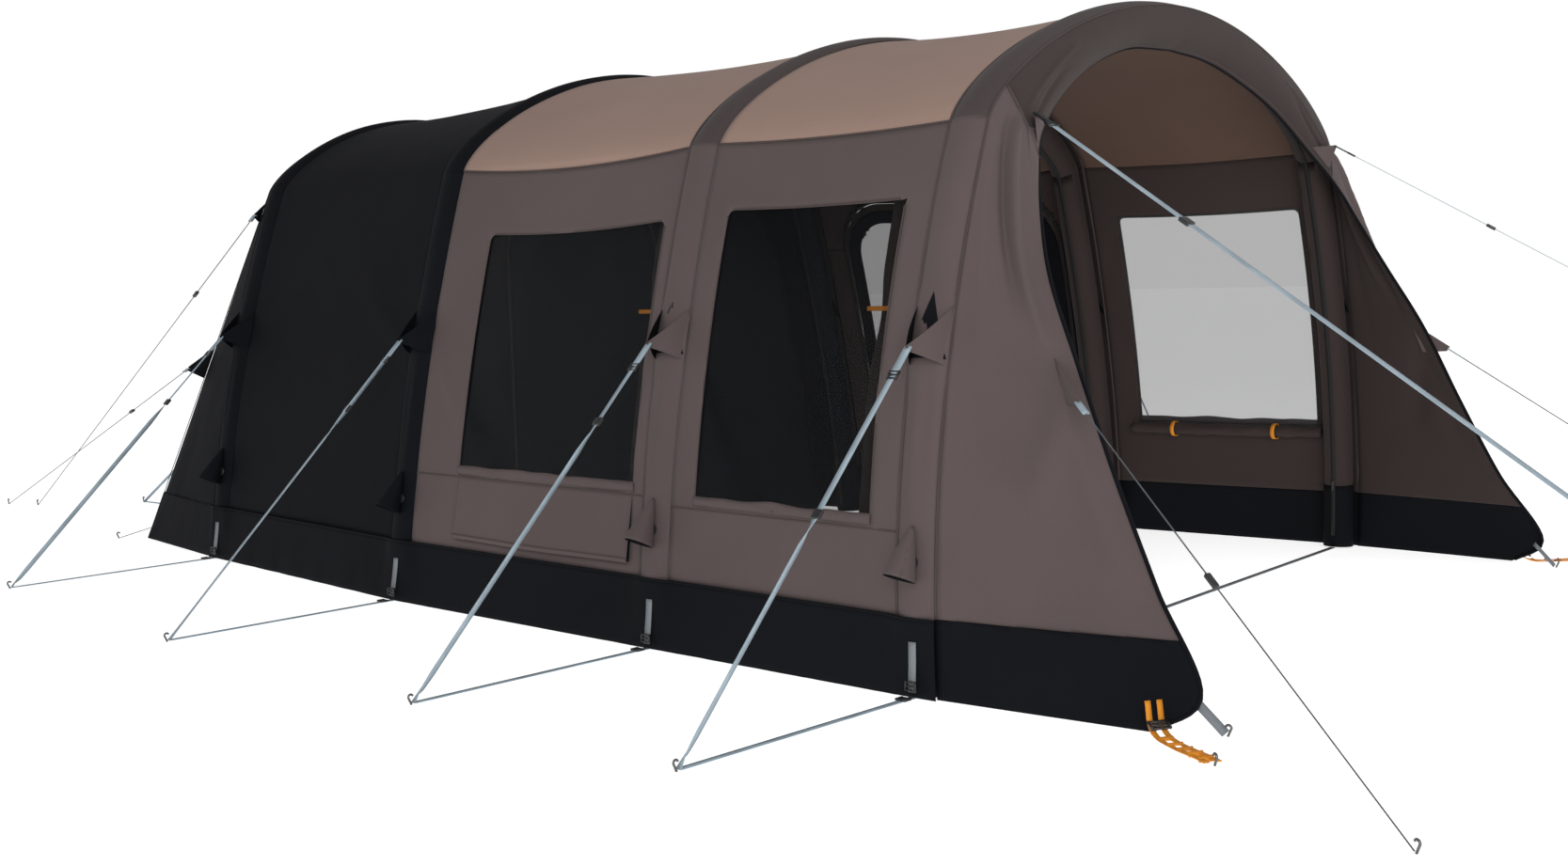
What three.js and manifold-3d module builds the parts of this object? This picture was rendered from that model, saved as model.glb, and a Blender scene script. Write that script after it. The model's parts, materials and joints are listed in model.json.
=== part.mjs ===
// Inflatable tunnel tent: four air-beam arches under a tapered flysheet, with an open front
// canopy, a rear bedroom, a side door, clear windows and webbing or cord guys.
// Millimetres. +X right, +Y towards the bedroom, +Z up. Heights start at the ground; lengths
// along Y are laid out from the front seam of the first arch and the whole tent is centred last.
import * as THREE from 'three';
import { mergeVertices } from 'three/addons/utils/BufferGeometryUtils.js';
import Module from 'manifold-3d';

const wasm = await Module();
wasm.setup();

// ---- driving dimensions ----
const ARCHES = [
  { y: 62, foot: 1600, eave: 1285, belly: 100, ridge: 2120 },
  { y: 1165, foot: 1555, eave: 1225, belly: 62, ridge: 2120 },
  { y: 2612, foot: 1485, eave: 1115, belly: 45, ridge: 2118 },
  { y: 4180, foot: 1285, eave: 880, belly: 62, ridge: 2045 },
];
const EAVE_HEIGHT = 1668;       // seam between the walls and the roof panels
const FLAP_HEIGHT = 235;        // top of the mud flap
const FLAP_GAP = 2;             // top of the mud flap to the walls and sleeves above it
const REAR_LENGTH = 890;        // last arch to the rear ground line
const REAR_HALF_WIDTH = 1110;
const CLOTH = 4;                // thickness of every fabric panel
const PANEL_INSET = 20;         // how far the panels lie inside the arches' outer line
const SEAM = 1;                 // gap between two panels that are sewn together
const FIT = 1;                  // gap between a piece and the opening or socket it sits in
const BEAM_RADIUS = 60;
const BEAM_SIDES = 8;
const BAND_HALF_WIDTH = 66;     // beam sleeve, across the arch
const VALVE_HEIGHT = 395;
const VALVE_RADIUS = 19;
const CAP_RADIUS = 23;
const CAP_DEPTH = 9;
const BOSS_LENGTH = 56;
const BOSS_OUT = 6;             // how far the valve's boss stands out of the arch's outer line
const SLEEVE_HOLE = 27;         // radius of the hole in the sleeve round the valve
const HOOD_DEPTH = 90;          // how far a valve hood stands out of its sleeve
const HOOD_TOP = 485;
const HOOD_DROP = 150;          // top of a valve hood to its open mouth
const HOOD_CLEARANCE = 17;      // valve cap to the inside of its hood
const HOOD_WIDTH = 2 * (CAP_RADIUS + 3 * CLOTH + HOOD_CLEARANCE);
const HOOD_SLOPE = 1.25;        // how far the hood's cone runs on below its mouth
const PANE_FIT = 1;             // gap round a clear pane
const DOOR_FIT = 2;             // gap round a door or a flap
const WEBBING_WIDTH = 22;
const WEBBING_THICKNESS = 3;
const ROPE_RADIUS = 2;
const TAB_THICKNESS = 5;
const SHEET_THICKNESS = 4;      // groundsheet
const TRAY_HEIGHT = 110;
const TRAY_FIT = 12;            // groundsheet's rim to the outer face of the inner tent
const INNER_GAP = 136;          // flysheet to inner tent
const INNER_HEIGHT = 1790;
const INNER_FRONT = 2735;
const INNER_BACK = 4220;
const REAR_CORNER = 90;         // seam of the rear mud flap, in from the rear corner
const LEG_STEPS = 4;
const ROOF_STEPS = 14;
const PAST = 20;                // how far a cutting solid runs past what it cuts
const REACH = 9000;             // half size of a cutting solid that takes in the whole tent

// openings in the side walls, as ranges along Y and Z with a corner radius
const WINDOWS = {
  window_left_front: { side: -1, y: [245, 990], z: [495, 1445], corner: 25 },
  window_left_middle: { side: -1, y: [1295, 2280], z: [520, 1425], corner: 25 },
  window_right_front: { side: 1, y: [165, 965], z: [520, 1445], corner: 25 },
};
const SIDE_DOOR = { side: 1, y: [1275, 2420], z: [300, 1585], corner: 230 };
const DOOR_PANE = { side: 1, y: [1340, 2350], z: [530, 1490], corner: 170 };
const VENT_FLAP = { side: -1, y: [1295, 2280], z: [275, 505], corner: 10 };
const INNER_DOOR = { x: [-720, 150], z: [150, 1560], corner: 220 };

// free front edge of the canopy, from the ground corner up to the middle of the hood
const CANOPY_EDGE = [
  [1540, -650, 0],
  [1503, -775, 89],
  [1445, -625, 357],
  [1409, -483, 648],
  [1367, -346, 951],
  [1301, -223, 1186],
  [1218, -145, 1361],
  [1137, -90, 1500],
  [1016, -31, 1629],
  [733, 20, 1809],
  [328, 62, 1941],
  [0, 68, 1968],
];
const HOOD_SHARE = 0.6;         // part of the canopy's half outline that belongs to the wings
const HOOD_BULGE = 72;          // how far the hood bows out round the first beam
const HOOD_BLEND = 0.15;        // share of the half outline over which the bulge fades out

// side guys: from a tab on each arch to a peg and back to the foot of the arch
const GUY_HEIGHT = 1000;
const TAB_FIT = 3;              // tip of a tab to the end of its guy
const TAB_REACH = 98;           // tip of a tab, out from the arch
const TAB_ROOT = 105;           // how far up the sleeve a tab is sewn
const PEG_DISTANCE = 912;       // peg, out from the foot
const PEG_OFFSET = 70;          // peg, along the tent
const STRAP_HEIGHT = 4;         // middle of the webbing where it runs along the ground
const STRAP_CLEARANCE = 6;
// the other guys: tip of the tab, then the peg; the right side mirrors the left
const FREE_GUYS = {
  guy_hood: { kind: 'webbing', points: [[1128, -85, 1668], [1883, -2795, 4]] },
  guy_wing: { kind: 'rope', points: [[1479, -412, 852], [2063, -1522, 3]] },
  guy_rear_high: { kind: 'rope', points: [[925, 4282, 1560], [760, 6900, 3]] },
  guy_rear_corner: { kind: 'rope', points: [[1062, 4700, 845], [830, 7110, 3]] },
  guy_rear_middle: { kind: 'webbing', points: [[360, 4790, 960], [360, 6430, 4], [360, 5080, 4]] },
};
const RUNNER = { width: 36, length: 34, depth: 9 };
const RUNNER_SHARES = [0.41, 0.22, 0.23, 0.26];  // along the guy, from the tab
const SIDE_NAMES = [[-1, 'left'], [1, 'right']];

// ---- materials ----
function material(color, roughness, metalness = 0) {
  return new THREE.MeshStandardMaterial({ color, roughness, metalness });
}
const TAUPE = material(0x5b4f4d, 0.85);
const SAND = material(0x8a7166, 0.8);
const SLEEVE = material(0x4a4141, 0.85);
const BLACK = material(0x15161a, 0.8);
const PANE = material(0x30363c, 0.15);
const BEAM = material(0x2a2c30, 0.5);
const VALVE = material(0x1c1d20, 0.4);
const WEBBING = material(0x8d99a3, 0.7);
const NAVY = material(0x1b2030, 0.85);
const SHEET = material(0x2b2f36, 0.6);

const tent = new THREE.Group();
const placed = {};

function place(name, geometry, finish) {
  const mesh = new THREE.Mesh(geometry, finish);
  mesh.name = name;
  tent.add(mesh);
  placed[name] = mesh;
}

// ---- solids and booleans ----
function toManifold(geometry) {
  const bare = geometry.index ? geometry.toNonIndexed() : geometry.clone();
  bare.deleteAttribute('normal');
  bare.deleteAttribute('uv');
  const merged = mergeVertices(bare, 1e-3);
  const flat = merged.index.array;
  const triangles = [];
  for (let i = 0; i < flat.length; i += 3) {
    const [a, b, c] = [flat[i], flat[i + 1], flat[i + 2]];
    if (a !== b && b !== c && c !== a) triangles.push(a, b, c);
  }
  return new wasm.Manifold(new wasm.Mesh({
    numProp: 3,
    vertProperties: new Float32Array(merged.attributes.position.array),
    triVerts: new Uint32Array(triangles),
  }));
}

function toGeometry(solid) {
  const mesh = solid.getMesh();
  const geometry = new THREE.BufferGeometry();
  geometry.setAttribute('position', new THREE.BufferAttribute(new Float32Array(mesh.vertProperties), 3));
  geometry.setIndex(new THREE.BufferAttribute(new Uint32Array(mesh.triVerts), 1));
  geometry.computeVertexNormals();
  return geometry;
}

// A closed solid between two grids of points: outer[row][column] and inner[row][column].
function sheet(outer, inner) {
  const positions = [];
  const triangle = (a, b, c) => positions.push(...a.toArray(), ...b.toArray(), ...c.toArray());
  const quad = (a, b, c, d) => {
    triangle(a, b, c);
    triangle(a, c, d);
  };
  const rows = outer.length;
  const columns = outer[0].length;
  for (let r = 0; r < rows - 1; r += 1) {
    for (let c = 0; c < columns - 1; c += 1) {
      quad(outer[r][c], outer[r][c + 1], outer[r + 1][c + 1], outer[r + 1][c]);
      quad(inner[r][c], inner[r + 1][c], inner[r + 1][c + 1], inner[r][c + 1]);
    }
  }
  for (let r = 0; r < rows - 1; r += 1) {
    quad(outer[r][0], outer[r + 1][0], inner[r + 1][0], inner[r][0]);
    quad(outer[r + 1][columns - 1], outer[r][columns - 1], inner[r][columns - 1], inner[r + 1][columns - 1]);
  }
  for (let c = 0; c < columns - 1; c += 1) {
    quad(outer[0][c + 1], outer[0][c], inner[0][c], inner[0][c + 1]);
    quad(outer[rows - 1][c], outer[rows - 1][c + 1], inner[rows - 1][c + 1], inner[rows - 1][c]);
  }
  return closed(positions);
}

// A closed solid through a row of rings, with a flat end at the first and the last.
function loft(rings) {
  const positions = [];
  const triangle = (a, b, c) => positions.push(...a.toArray(), ...b.toArray(), ...c.toArray());
  const sides = rings[0].length;
  for (let r = 0; r < rings.length - 1; r += 1) {
    for (let i = 0; i < sides; i += 1) {
      const next = (i + 1) % sides;
      triangle(rings[r][i], rings[r][next], rings[r + 1][next]);
      triangle(rings[r][i], rings[r + 1][next], rings[r + 1][i]);
    }
  }
  const last = rings[rings.length - 1];
  for (let i = 1; i < sides - 1; i += 1) {
    triangle(rings[0][0], rings[0][i + 1], rings[0][i]);
    triangle(last[0], last[i], last[i + 1]);
  }
  return closed(positions);
}

function closed(positions) {
  const geometry = new THREE.BufferGeometry();
  geometry.setAttribute('position', new THREE.Float32BufferAttribute(positions, 3));
  const solid = toManifold(geometry);
  return solid.volume() < 0 ? toManifold(flipped(geometry)) : solid;
}

function flipped(geometry) {
  const points = geometry.attributes.position.array;
  const turned = new Float32Array(points.length);
  for (let i = 0; i < points.length; i += 9) {
    turned.set(points.slice(i, i + 3), i);
    turned.set(points.slice(i + 6, i + 9), i + 3);
    turned.set(points.slice(i + 3, i + 6), i + 6);
  }
  const geometryOut = new THREE.BufferGeometry();
  geometryOut.setAttribute('position', new THREE.BufferAttribute(turned, 3));
  return geometryOut;
}

function block(low, high) {
  const size = new THREE.Vector3().subVectors(high, low);
  const geometry = new THREE.BoxGeometry(size.x, size.y, size.z);
  geometry.translate((low.x + high.x) / 2, (low.y + high.y) / 2, (low.z + high.z) / 2);
  return toManifold(geometry);
}

function slab(bottom, top) {
  return block(new THREE.Vector3(-REACH, -REACH, bottom), new THREE.Vector3(REACH, REACH, top));
}
const BELOW_BAND = slab(-PAST, FLAP_HEIGHT);
const ABOVE_BAND = slab(FLAP_HEIGHT + SEAM, REACH);

// ---- outline of the flysheet ----
// A cross-section at any length is a mix of the two arches beside it.
function sectionAt(y) {
  let index = 0;
  while (index < ARCHES.length - 2 && y > ARCHES[index + 1].y) index += 1;
  const [front, back] = [ARCHES[index], ARCHES[index + 1]];
  const share = THREE.MathUtils.clamp((y - front.y) / (back.y - front.y), 0, 1);
  const mix = (key) => THREE.MathUtils.lerp(front[key], back[key], share);
  return { foot: mix('foot'), eave: mix('eave'), belly: mix('belly'), ridge: mix('ridge') };
}

// Half outline, from the foot (share 0) over the eave (share 0.5) to the ridge (share 1).
function halfOutline(section, share) {
  if (share <= 0.5) {
    const t = share * 2;
    const x = THREE.MathUtils.lerp(section.foot, section.eave, t) + section.belly * 4 * t * (1 - t);
    return new THREE.Vector2(x, EAVE_HEIGHT * t);
  }
  const rise = section.ridge - EAVE_HEIGHT;
  const roof = new THREE.CubicBezierCurve(
    new THREE.Vector2(section.eave, EAVE_HEIGHT),
    new THREE.Vector2(section.eave * 0.94, EAVE_HEIGHT + rise * 0.34),
    new THREE.Vector2(section.eave * 0.5, section.ridge),
    new THREE.Vector2(0, section.ridge),
  );
  return roof.getPoint(share * 2 - 1);
}

// Point of the outline at a signed share from -1 (left foot) to 1 (right foot), moved inwards.
function outline(y, position, inset = 0) {
  const section = sectionAt(y);
  const share = 1 - Math.abs(position);
  const side = position < 0 ? -1 : 1;
  const here = halfOutline(section, share);
  if (share >= 1) return new THREE.Vector3(0, y, here.y - inset);
  const step = 1e-3;
  const ahead = halfOutline(section, Math.min(share + step, 1));
  const behind = halfOutline(section, Math.max(share - step, 0));
  const along = ahead.sub(behind).normalize();
  const x = Math.max(here.x - along.y * inset, 0);
  return new THREE.Vector3(side * x, y, Math.max(here.y + along.x * inset, 0));
}

function wallShare(height) {
  return height / EAVE_HEIGHT / 2;
}

function range(from, to, steps) {
  return Array.from({ length: steps + 1 }, (_, i) => from + (to - from) * i / steps);
}

// Stations along the whole outline: the left leg, the roof and the right leg.
const LEG = range(-1, -0.5, LEG_STEPS);
const ROOF = range(-0.5, 0.5, ROOF_STEPS);
const WHOLE = [...LEG, ...ROOF.slice(1), ...range(0.5, 1, LEG_STEPS).slice(1)];

// The stations from the top of one mud flap, over the roof, to the top of the other.
const FLAP_SHARE = wallShare(FLAP_HEIGHT + FLAP_GAP);
const OVER_FLAPS = [
  FLAP_SHARE - 1, ...WHOLE.filter((s) => Math.abs(s) < 0.99 - FLAP_SHARE), 1 - FLAP_SHARE];

// The same point on the straight facet between the two stations beside it.
function facetPoint(y, position, inset) {
  const after = WHOLE.findIndex((s) => s >= position);
  const [from, to] = [WHOLE[Math.max(after - 1, 0)], WHOLE[after]];
  const share = to === from ? 0 : (position - from) / (to - from);
  return outline(y, from, inset).lerp(outline(y, to, inset), share);
}

// Fabric stretched from one arch's flank to the next, over the given stations.
function panel(bay, stations, inset = PANEL_INSET) {
  const start = ARCHES[bay].y + BAND_HALF_WIDTH + SEAM;
  const end = ARCHES[bay + 1].y - BAND_HALF_WIDTH - SEAM;
  const lengths = range(start, end, 2);
  const rows = (depth) => lengths.map((y) => stations.map((s) => outline(y, s, depth)));
  return sheet(rows(inset), rows(inset + CLOTH));
}

function rounded(y, z, corner, shrink = 0) {
  const [y0, y1] = [y[0] + shrink, y[1] - shrink];
  const [z0, z1] = [z[0] + shrink, z[1] - shrink];
  const r = Math.max(corner - shrink, 1);
  const shape = new THREE.Shape();
  shape.moveTo(y0, z0);
  shape.lineTo(y1, z0);
  shape.lineTo(y1, z1 - r);
  shape.absarc(y1 - r, z1 - r, r, 0, Math.PI / 2, false);
  shape.lineTo(y0 + r, z1);
  shape.absarc(y0 + r, z1 - r, r, Math.PI / 2, Math.PI, false);
  shape.lineTo(y0, z0);
  return shape;
}

// A bar along X through one side wall, with the outline of a window, a door or a flap.
function sideCutter(opening, shrink = 0) {
  const shape = rounded(opening.y, opening.z, opening.corner, shrink);
  const geometry = new THREE.ExtrudeGeometry(shape, { depth: REACH, bevelEnabled: false, curveSegments: 5 });
  geometry.rotateX(Math.PI / 2);
  geometry.rotateZ(Math.PI / 2);
  if (opening.side < 0) geometry.translate(-REACH, 0, 0);
  return toManifold(geometry);
}

// Flat four-cornered piece of cloth, its corners given in order round its edge.
function plate(corners, thickness) {
  const [a, b, c] = corners;
  const normal = new THREE.Vector3().subVectors(b, a).cross(new THREE.Vector3().subVectors(c, a));
  normal.setLength(thickness / 2);
  const face = (sign) => {
    const [p, q, r, s] = corners.map((corner) => corner.clone().addScaledVector(normal, sign));
    return [[p, q], [s, r]];
  };
  return sheet(face(1), face(-1));
}

// ---- tabs: a guy starts at a tab's tip, and the tab's root lies in the cloth ----
function mirrored(points, side) {
  return points.map(([x, y, z]) => new THREE.Vector3(side * x, y, z));
}

function tab(guy, side, root) {
  const [tip, peg] = mirrored(guy.points, side);
  const [high, low] = mirrored(root, side);
  const pull = new THREE.Vector3().subVectors(peg, tip).normalize();
  const end = tip.addScaledVector(pull, -TAB_FIT);
  const half = new THREE.Vector3().subVectors(high, low);
  half.addScaledVector(pull, -half.dot(pull)).setLength(WEBBING_WIDTH / 2);
  return plate([high, low, end.clone().sub(half), end.clone().add(half)], TAB_THICKNESS);
}

// ---- frame ----
function beamRing(arch, position, depth) {
  const centre = outline(arch.y, position, depth);
  const nearby = (p) => outline(arch.y, THREE.MathUtils.clamp(p, -1, 1), depth);
  const along = new THREE.Vector3().subVectors(nearby(position + 0.01), nearby(position - 0.01)).normalize();
  const atFoot = Math.abs(position) === 1;
  const up = new THREE.Vector3(-along.z, 0, atFoot ? 0 : along.x);
  if (atFoot) centre.z = 0;
  return { centre, up };
}

const BEAM_INSET = CLOTH + SEAM + BEAM_RADIUS;
function beamShape(arch) {
  return loft(WHOLE.map((position) => {
    const { centre, up } = beamRing(arch, position, BEAM_INSET);
    return range(0, 2 * Math.PI, BEAM_SIDES).slice(1).map((angle) => centre.clone()
      .addScaledVector(up, BEAM_RADIUS * Math.cos(angle))
      .add(new THREE.Vector3(0, BEAM_RADIUS * Math.sin(angle), 0)));
  }));
}

// Round piece standing out of the left leg of an arch at valve height.
function valvePiece(arch, radius, from, to) {
  const share = wallShare(VALVE_HEIGHT);
  const surface = outline(arch.y, share - 1, 0);
  const above = outline(arch.y, wallShare(VALVE_HEIGHT + 50) - 1, 0);
  const lean = Math.atan2(above.x - surface.x, above.z - surface.z);
  const geometry = new THREE.CylinderGeometry(radius, radius, to - from, 16);
  geometry.rotateZ(Math.PI / 2);
  geometry.translate(-(from + to) / 2, 0, 0);
  geometry.rotateY(lean);
  geometry.translate(surface.x, surface.y, surface.z);
  return toManifold(geometry);
}

// Half cone of cloth over the valve, sewn to the sleeve and open at the bottom.
function valveHood(arch) {
  const height = HOOD_DROP * HOOD_SLOPE;
  const cone = (shrink) => {
    const geometry = new THREE.ConeGeometry(HOOD_DEPTH - shrink, height, 12);
    geometry.translate(0, -height / 2 - shrink, 0);
    geometry.rotateX(Math.PI / 2);
    geometry.scale(1, (HOOD_WIDTH / 2 - shrink) / (HOOD_DEPTH - shrink) * HOOD_SLOPE, 1);
    return toManifold(geometry);
  };
  const surface = outline(arch.y, wallShare(HOOD_TOP) - 1, 0);
  const low = outline(arch.y, wallShare(HOOD_TOP - HOOD_DROP) - 1, 0);
  const lean = THREE.MathUtils.radToDeg(Math.atan2(surface.x - low.x, surface.z - low.z));
  const half = block(
    new THREE.Vector3(-REACH, -REACH, -HOOD_DROP), new THREE.Vector3(BEAM_RADIUS / 2, REACH, BEAM_RADIUS));
  return cone(0).subtract(cone(CLOTH)).intersect(half)
    .rotate([0, lean, 0])
    .translate([surface.x, arch.y, surface.z])
    .subtract(bandSheet(arch, CLOTH / 2, BEAM_RADIUS));
}

// Bowed band of cloth over a beam, on the stations from one mud flap to the other.
function bandSheet(arch, from, to) {
  const across = range(-1, 1, 4);
  const rows = (depth) => across.map((c) => OVER_FLAPS.map((s) => {
    const point = outline(arch.y, s, PANEL_INSET * c * c + depth);
    point.y += BAND_HALF_WIDTH * c;
    return point;
  }));
  return sheet(rows(from), rows(to));
}

// Guy of an arch: tip of its tab, peg, and the end of the strap that comes back to the foot.
function sideGuy(arch) {
  const tip = outline(arch.y, 1 - wallShare(GUY_HEIGHT), 0).x + TAB_REACH;
  return {
    kind: 'webbing',
    points: [
      [tip, arch.y, GUY_HEIGHT],
      [arch.foot + PEG_DISTANCE, arch.y + PEG_OFFSET, STRAP_HEIGHT],
      [arch.foot + STRAP_CLEARANCE, arch.y, STRAP_HEIGHT],
    ],
  };
}

function sleeve(arch) {
  const rootAt = (height) => facetPoint(arch.y, 1 - wallShare(height), CLOTH / 2).toArray();
  const root = [rootAt(GUY_HEIGHT + TAB_ROOT), rootAt(GUY_HEIGHT - TAB_ROOT / 3)];
  const opening = valvePiece(arch, SLEEVE_HOLE, -BEAM_RADIUS / 2, BEAM_RADIUS / 2);
  const banded = bandSheet(arch, 0, CLOTH).subtract(opening).add(valveHood(arch));
  return banded.add(tab(sideGuy(arch), -1, root)).add(tab(sideGuy(arch), 1, root));
}

ARCHES.forEach((arch, index) => {
  const boss = valvePiece(arch, VALVE_RADIUS, BOSS_OUT - BOSS_LENGTH, BOSS_OUT);
  place(`air_beam_${index + 1}`, toGeometry(beamShape(arch).add(boss)), BEAM);
  place(`valve_cap_${index + 1}`,
    toGeometry(valvePiece(arch, CAP_RADIUS, BOSS_OUT + FIT, BOSS_OUT + FIT + CAP_DEPTH)), VALVE);
  place(`beam_sleeve_${index + 1}`, toGeometry(sleeve(arch)), index < 2 ? SLEEVE : BLACK);
});

// ---- flysheet panels ----
function wallPanel(bay, side) {
  const stations = range(FLAP_SHARE, 0.5 - wallShare(SEAM), LEG_STEPS)
    .map((share) => side * (1 - share));
  return panel(bay, stations);
}

const openWalls = {
  wall_left_front: wallPanel(0, -1),
  wall_left_middle: wallPanel(1, -1),
  wall_right_front: wallPanel(0, 1),
  wall_right_middle: wallPanel(1, 1),
};

// Cuts an opening in a wall and returns the piece that fills it, smaller by its gap.
function cutFrom(wallName, opening, gap) {
  const filling = openWalls[wallName].intersect(sideCutter(opening, gap));
  openWalls[wallName] = openWalls[wallName].subtract(sideCutter(opening));
  return filling;
}

Object.entries(WINDOWS).forEach(([name, opening]) => {
  place(name, toGeometry(cutFrom(name.replace('window', 'wall'), opening, PANE_FIT)), PANE);
});
place('vent_flap', toGeometry(cutFrom('wall_left_middle', VENT_FLAP, DOOR_FIT)), TAUPE);
const doorPanel = cutFrom('wall_right_middle', SIDE_DOOR, DOOR_FIT);
place('side_door', toGeometry(doorPanel.subtract(sideCutter(DOOR_PANE))), TAUPE);
place('side_door_window', toGeometry(doorPanel.intersect(sideCutter(DOOR_PANE, PANE_FIT))), PANE);
Object.entries(openWalls).forEach(([name, solid]) => place(name, toGeometry(solid), TAUPE));

place('roof_front', toGeometry(panel(0, ROOF)), SAND);
place('roof_middle', toGeometry(panel(1, ROOF)), SAND);
place('bedroom_fly', toGeometry(panel(2, OVER_FLAPS)), BLACK);

// ---- rear end: sloping back with a three-cornered piece on each side ----
const REAR_START = ARCHES[3].y + BAND_HALF_WIDTH + SEAM;
function rearPoint(position, share, depth) {
  const top = outline(ARCHES[3].y, position, PANEL_INSET + depth);
  top.y = REAR_START;
  const wide = REAR_HALF_WIDTH - depth;
  const base = new THREE.Vector3(
    THREE.MathUtils.clamp(position * 2, -1, 1) * wide, ARCHES[3].y + REAR_LENGTH - depth, 0);
  return top.lerp(base, share);
}

function rearSkin() {
  const rows = (depth) => [0, 0.5, 1].map((share) => WHOLE.map((s) => rearPoint(s, share, depth)));
  return sheet(rows(0), rows(CLOTH));
}

const rearWhole = rearSkin();
let rearWall = rearWhole.intersect(ABOVE_BAND);

// Point of the rear slope under a guy's tip, for a station along the outline.
function rearRoot(position, height) {
  const top = rearPoint(position, 0, CLOTH / 2);
  const share = 1 - height / top.z;
  return rearPoint(position, share, CLOTH / 2).toArray();
}

function addRearTab(guy, station, spread) {
  const height = guy.points[0][2];
  [-1, 1].forEach((side) => {
    const root = [rearRoot(station, height + spread), rearRoot(station, height - spread / 2)];
    rearWall = rearWall.add(tab(guy, side, root));
  });
}
addRearTab(FREE_GUYS.guy_rear_high, 0.5, 45);
addRearTab(FREE_GUYS.guy_rear_corner, 0.5, 90);
addRearTab(FREE_GUYS.guy_rear_middle, FREE_GUYS.guy_rear_middle.points[0][0] / REAR_HALF_WIDTH / 2, 90);
place('rear_wall', toGeometry(rearWall), BLACK);

// ---- canopy: hood over the first arch and a wing on each side ----
const CANOPY_BACK = ARCHES[0].y - BAND_HALF_WIDTH - SEAM;
const edgeCurve = new THREE.CatmullRomCurve3(
  CANOPY_EDGE.map((p) => new THREE.Vector3(...p)), false, 'centripetal');

const halfCurve = new THREE.CatmullRomCurve3(
  range(0, 1, 30).map((share) => {
    const point = halfOutline(ARCHES[0], share);
    return new THREE.Vector3(point.x, share, point.y);
  }), false, 'centripetal');

// Grid point of the canopy: column from -1 (left ground) to 1 (right ground), row from the
// arch (0) to the free edge (1). The hood bulges round the beam and the wings run straight.
function canopyPoint(column, row, depth) {
  const side = column < 0 ? -1 : 1;
  const up = 1 - Math.abs(column);
  const share = halfCurve.getPointAt(up).y;
  const back = outline(CANOPY_BACK, side * (1 - share), PANEL_INSET + depth);
  const front = edgeCurve.getPointAt(up);
  front.x *= side;
  const centre = outline(ARCHES[0].y, side * (1 - share), BEAM_INSET);
  const middle = back.clone().lerp(front, 0.5);
  const outward = middle.clone().sub(centre);
  outward.x *= 0.4;
  outward.normalize();
  const hood = THREE.MathUtils.smoothstep(up, HOOD_SHARE - HOOD_BLEND, HOOD_SHARE + HOOD_BLEND);
  const control = middle.clone().addScaledVector(outward, HOOD_BULGE * hood);
  const inward = new THREE.Vector3().subVectors(centre, middle);
  if (hood < 1) inward.lerp(new THREE.Vector3(-side * 100, 0, 0), 1 - hood);
  inward.setLength(depth);
  front.add(inward);
  control.add(inward);
  return new THREE.QuadraticBezierCurve3(back, control, front).getPoint(row);
}

function canopyPart(columns) {
  const rows = (depth) => range(0, 1, 4).map((row) => columns.map((c) => canopyPoint(c, row, depth)));
  return sheet(rows(0), rows(CLOTH));
}

const WING_COLUMNS = range(-1, HOOD_SHARE - 1 - SEAM / halfCurve.getLength(), 10);
const HOOD_COLUMNS = range(HOOD_SHARE - 1, 1 - HOOD_SHARE, 12);

// Tab on the canopy, sewn on over a stretch of columns at the given row.
function canopyTab(guy, column, row, side) {
  const root = [0.022, -0.022].map((step) => canopyPoint(1 - column - step, row, CLOTH / 2).toArray());
  return tab(guy, side, root);
}

let hood = canopyPart(HOOD_COLUMNS);
const wings = {};
SIDE_NAMES.forEach(([side, name]) => {
  hood = hood.add(canopyTab(FREE_GUYS.guy_hood, HOOD_SHARE + 0.03, 0.85, side));
  wings[name] = canopyPart(WING_COLUMNS.map((c) => -side * c));
  const upper = wings[name].intersect(ABOVE_BAND);
  place(`wing_${name}`, toGeometry(upper.add(canopyTab(FREE_GUYS.guy_wing, 0.34, 0.8, side))), TAUPE);
});
place('hood', toGeometry(hood), SLEEVE);

// ---- mud flaps: one strip down each side, from the canopy to the rear corner, and one behind ----
const REAR_FLAP_HALF = REAR_HALF_WIDTH - REAR_CORNER;
function sideStrip(side) {
  const knuckle = BAND_HALF_WIDTH / 2;
  const posts = [
    [CANOPY_BACK - 2, PANEL_INSET],
    ...ARCHES.flatMap((arch) => [-knuckle, 0, knuckle].map((step) => [arch.y + step, 0])),
    [REAR_START + 2, PANEL_INSET],
  ];
  const stations = [0, wallShare(FLAP_HEIGHT)].map((share) => side * (1 - share));
  const rows = (depth) => posts.map(([y, inset]) => stations.map((s) => outline(y, s, inset + depth)));
  return sheet(rows(0), rows(CLOTH));
}

const rearLow = rearWhole.intersect(BELOW_BAND);
const rearMiddle = block(
  new THREE.Vector3(-REAR_FLAP_HALF, 0, -PAST),
  new THREE.Vector3(REAR_FLAP_HALF, REACH, FLAP_HEIGHT + PAST));
place('mud_flap_rear', toGeometry(rearLow.intersect(rearMiddle)), BLACK);
SIDE_NAMES.forEach(([side, name]) => {
  const inner = side < 0 ? [-REACH, -REAR_FLAP_HALF - SEAM] : [REAR_FLAP_HALF + SEAM, REACH];
  const corner = block(
    new THREE.Vector3(inner[0], 0, -PAST), new THREE.Vector3(inner[1], REACH, FLAP_HEIGHT + PAST));
  const strip = sideStrip(side)
    .add(wings[name].intersect(BELOW_BAND))
    .add(rearLow.intersect(corner));
  place(`mud_flap_${name}`, toGeometry(strip), BLACK);
});

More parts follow.
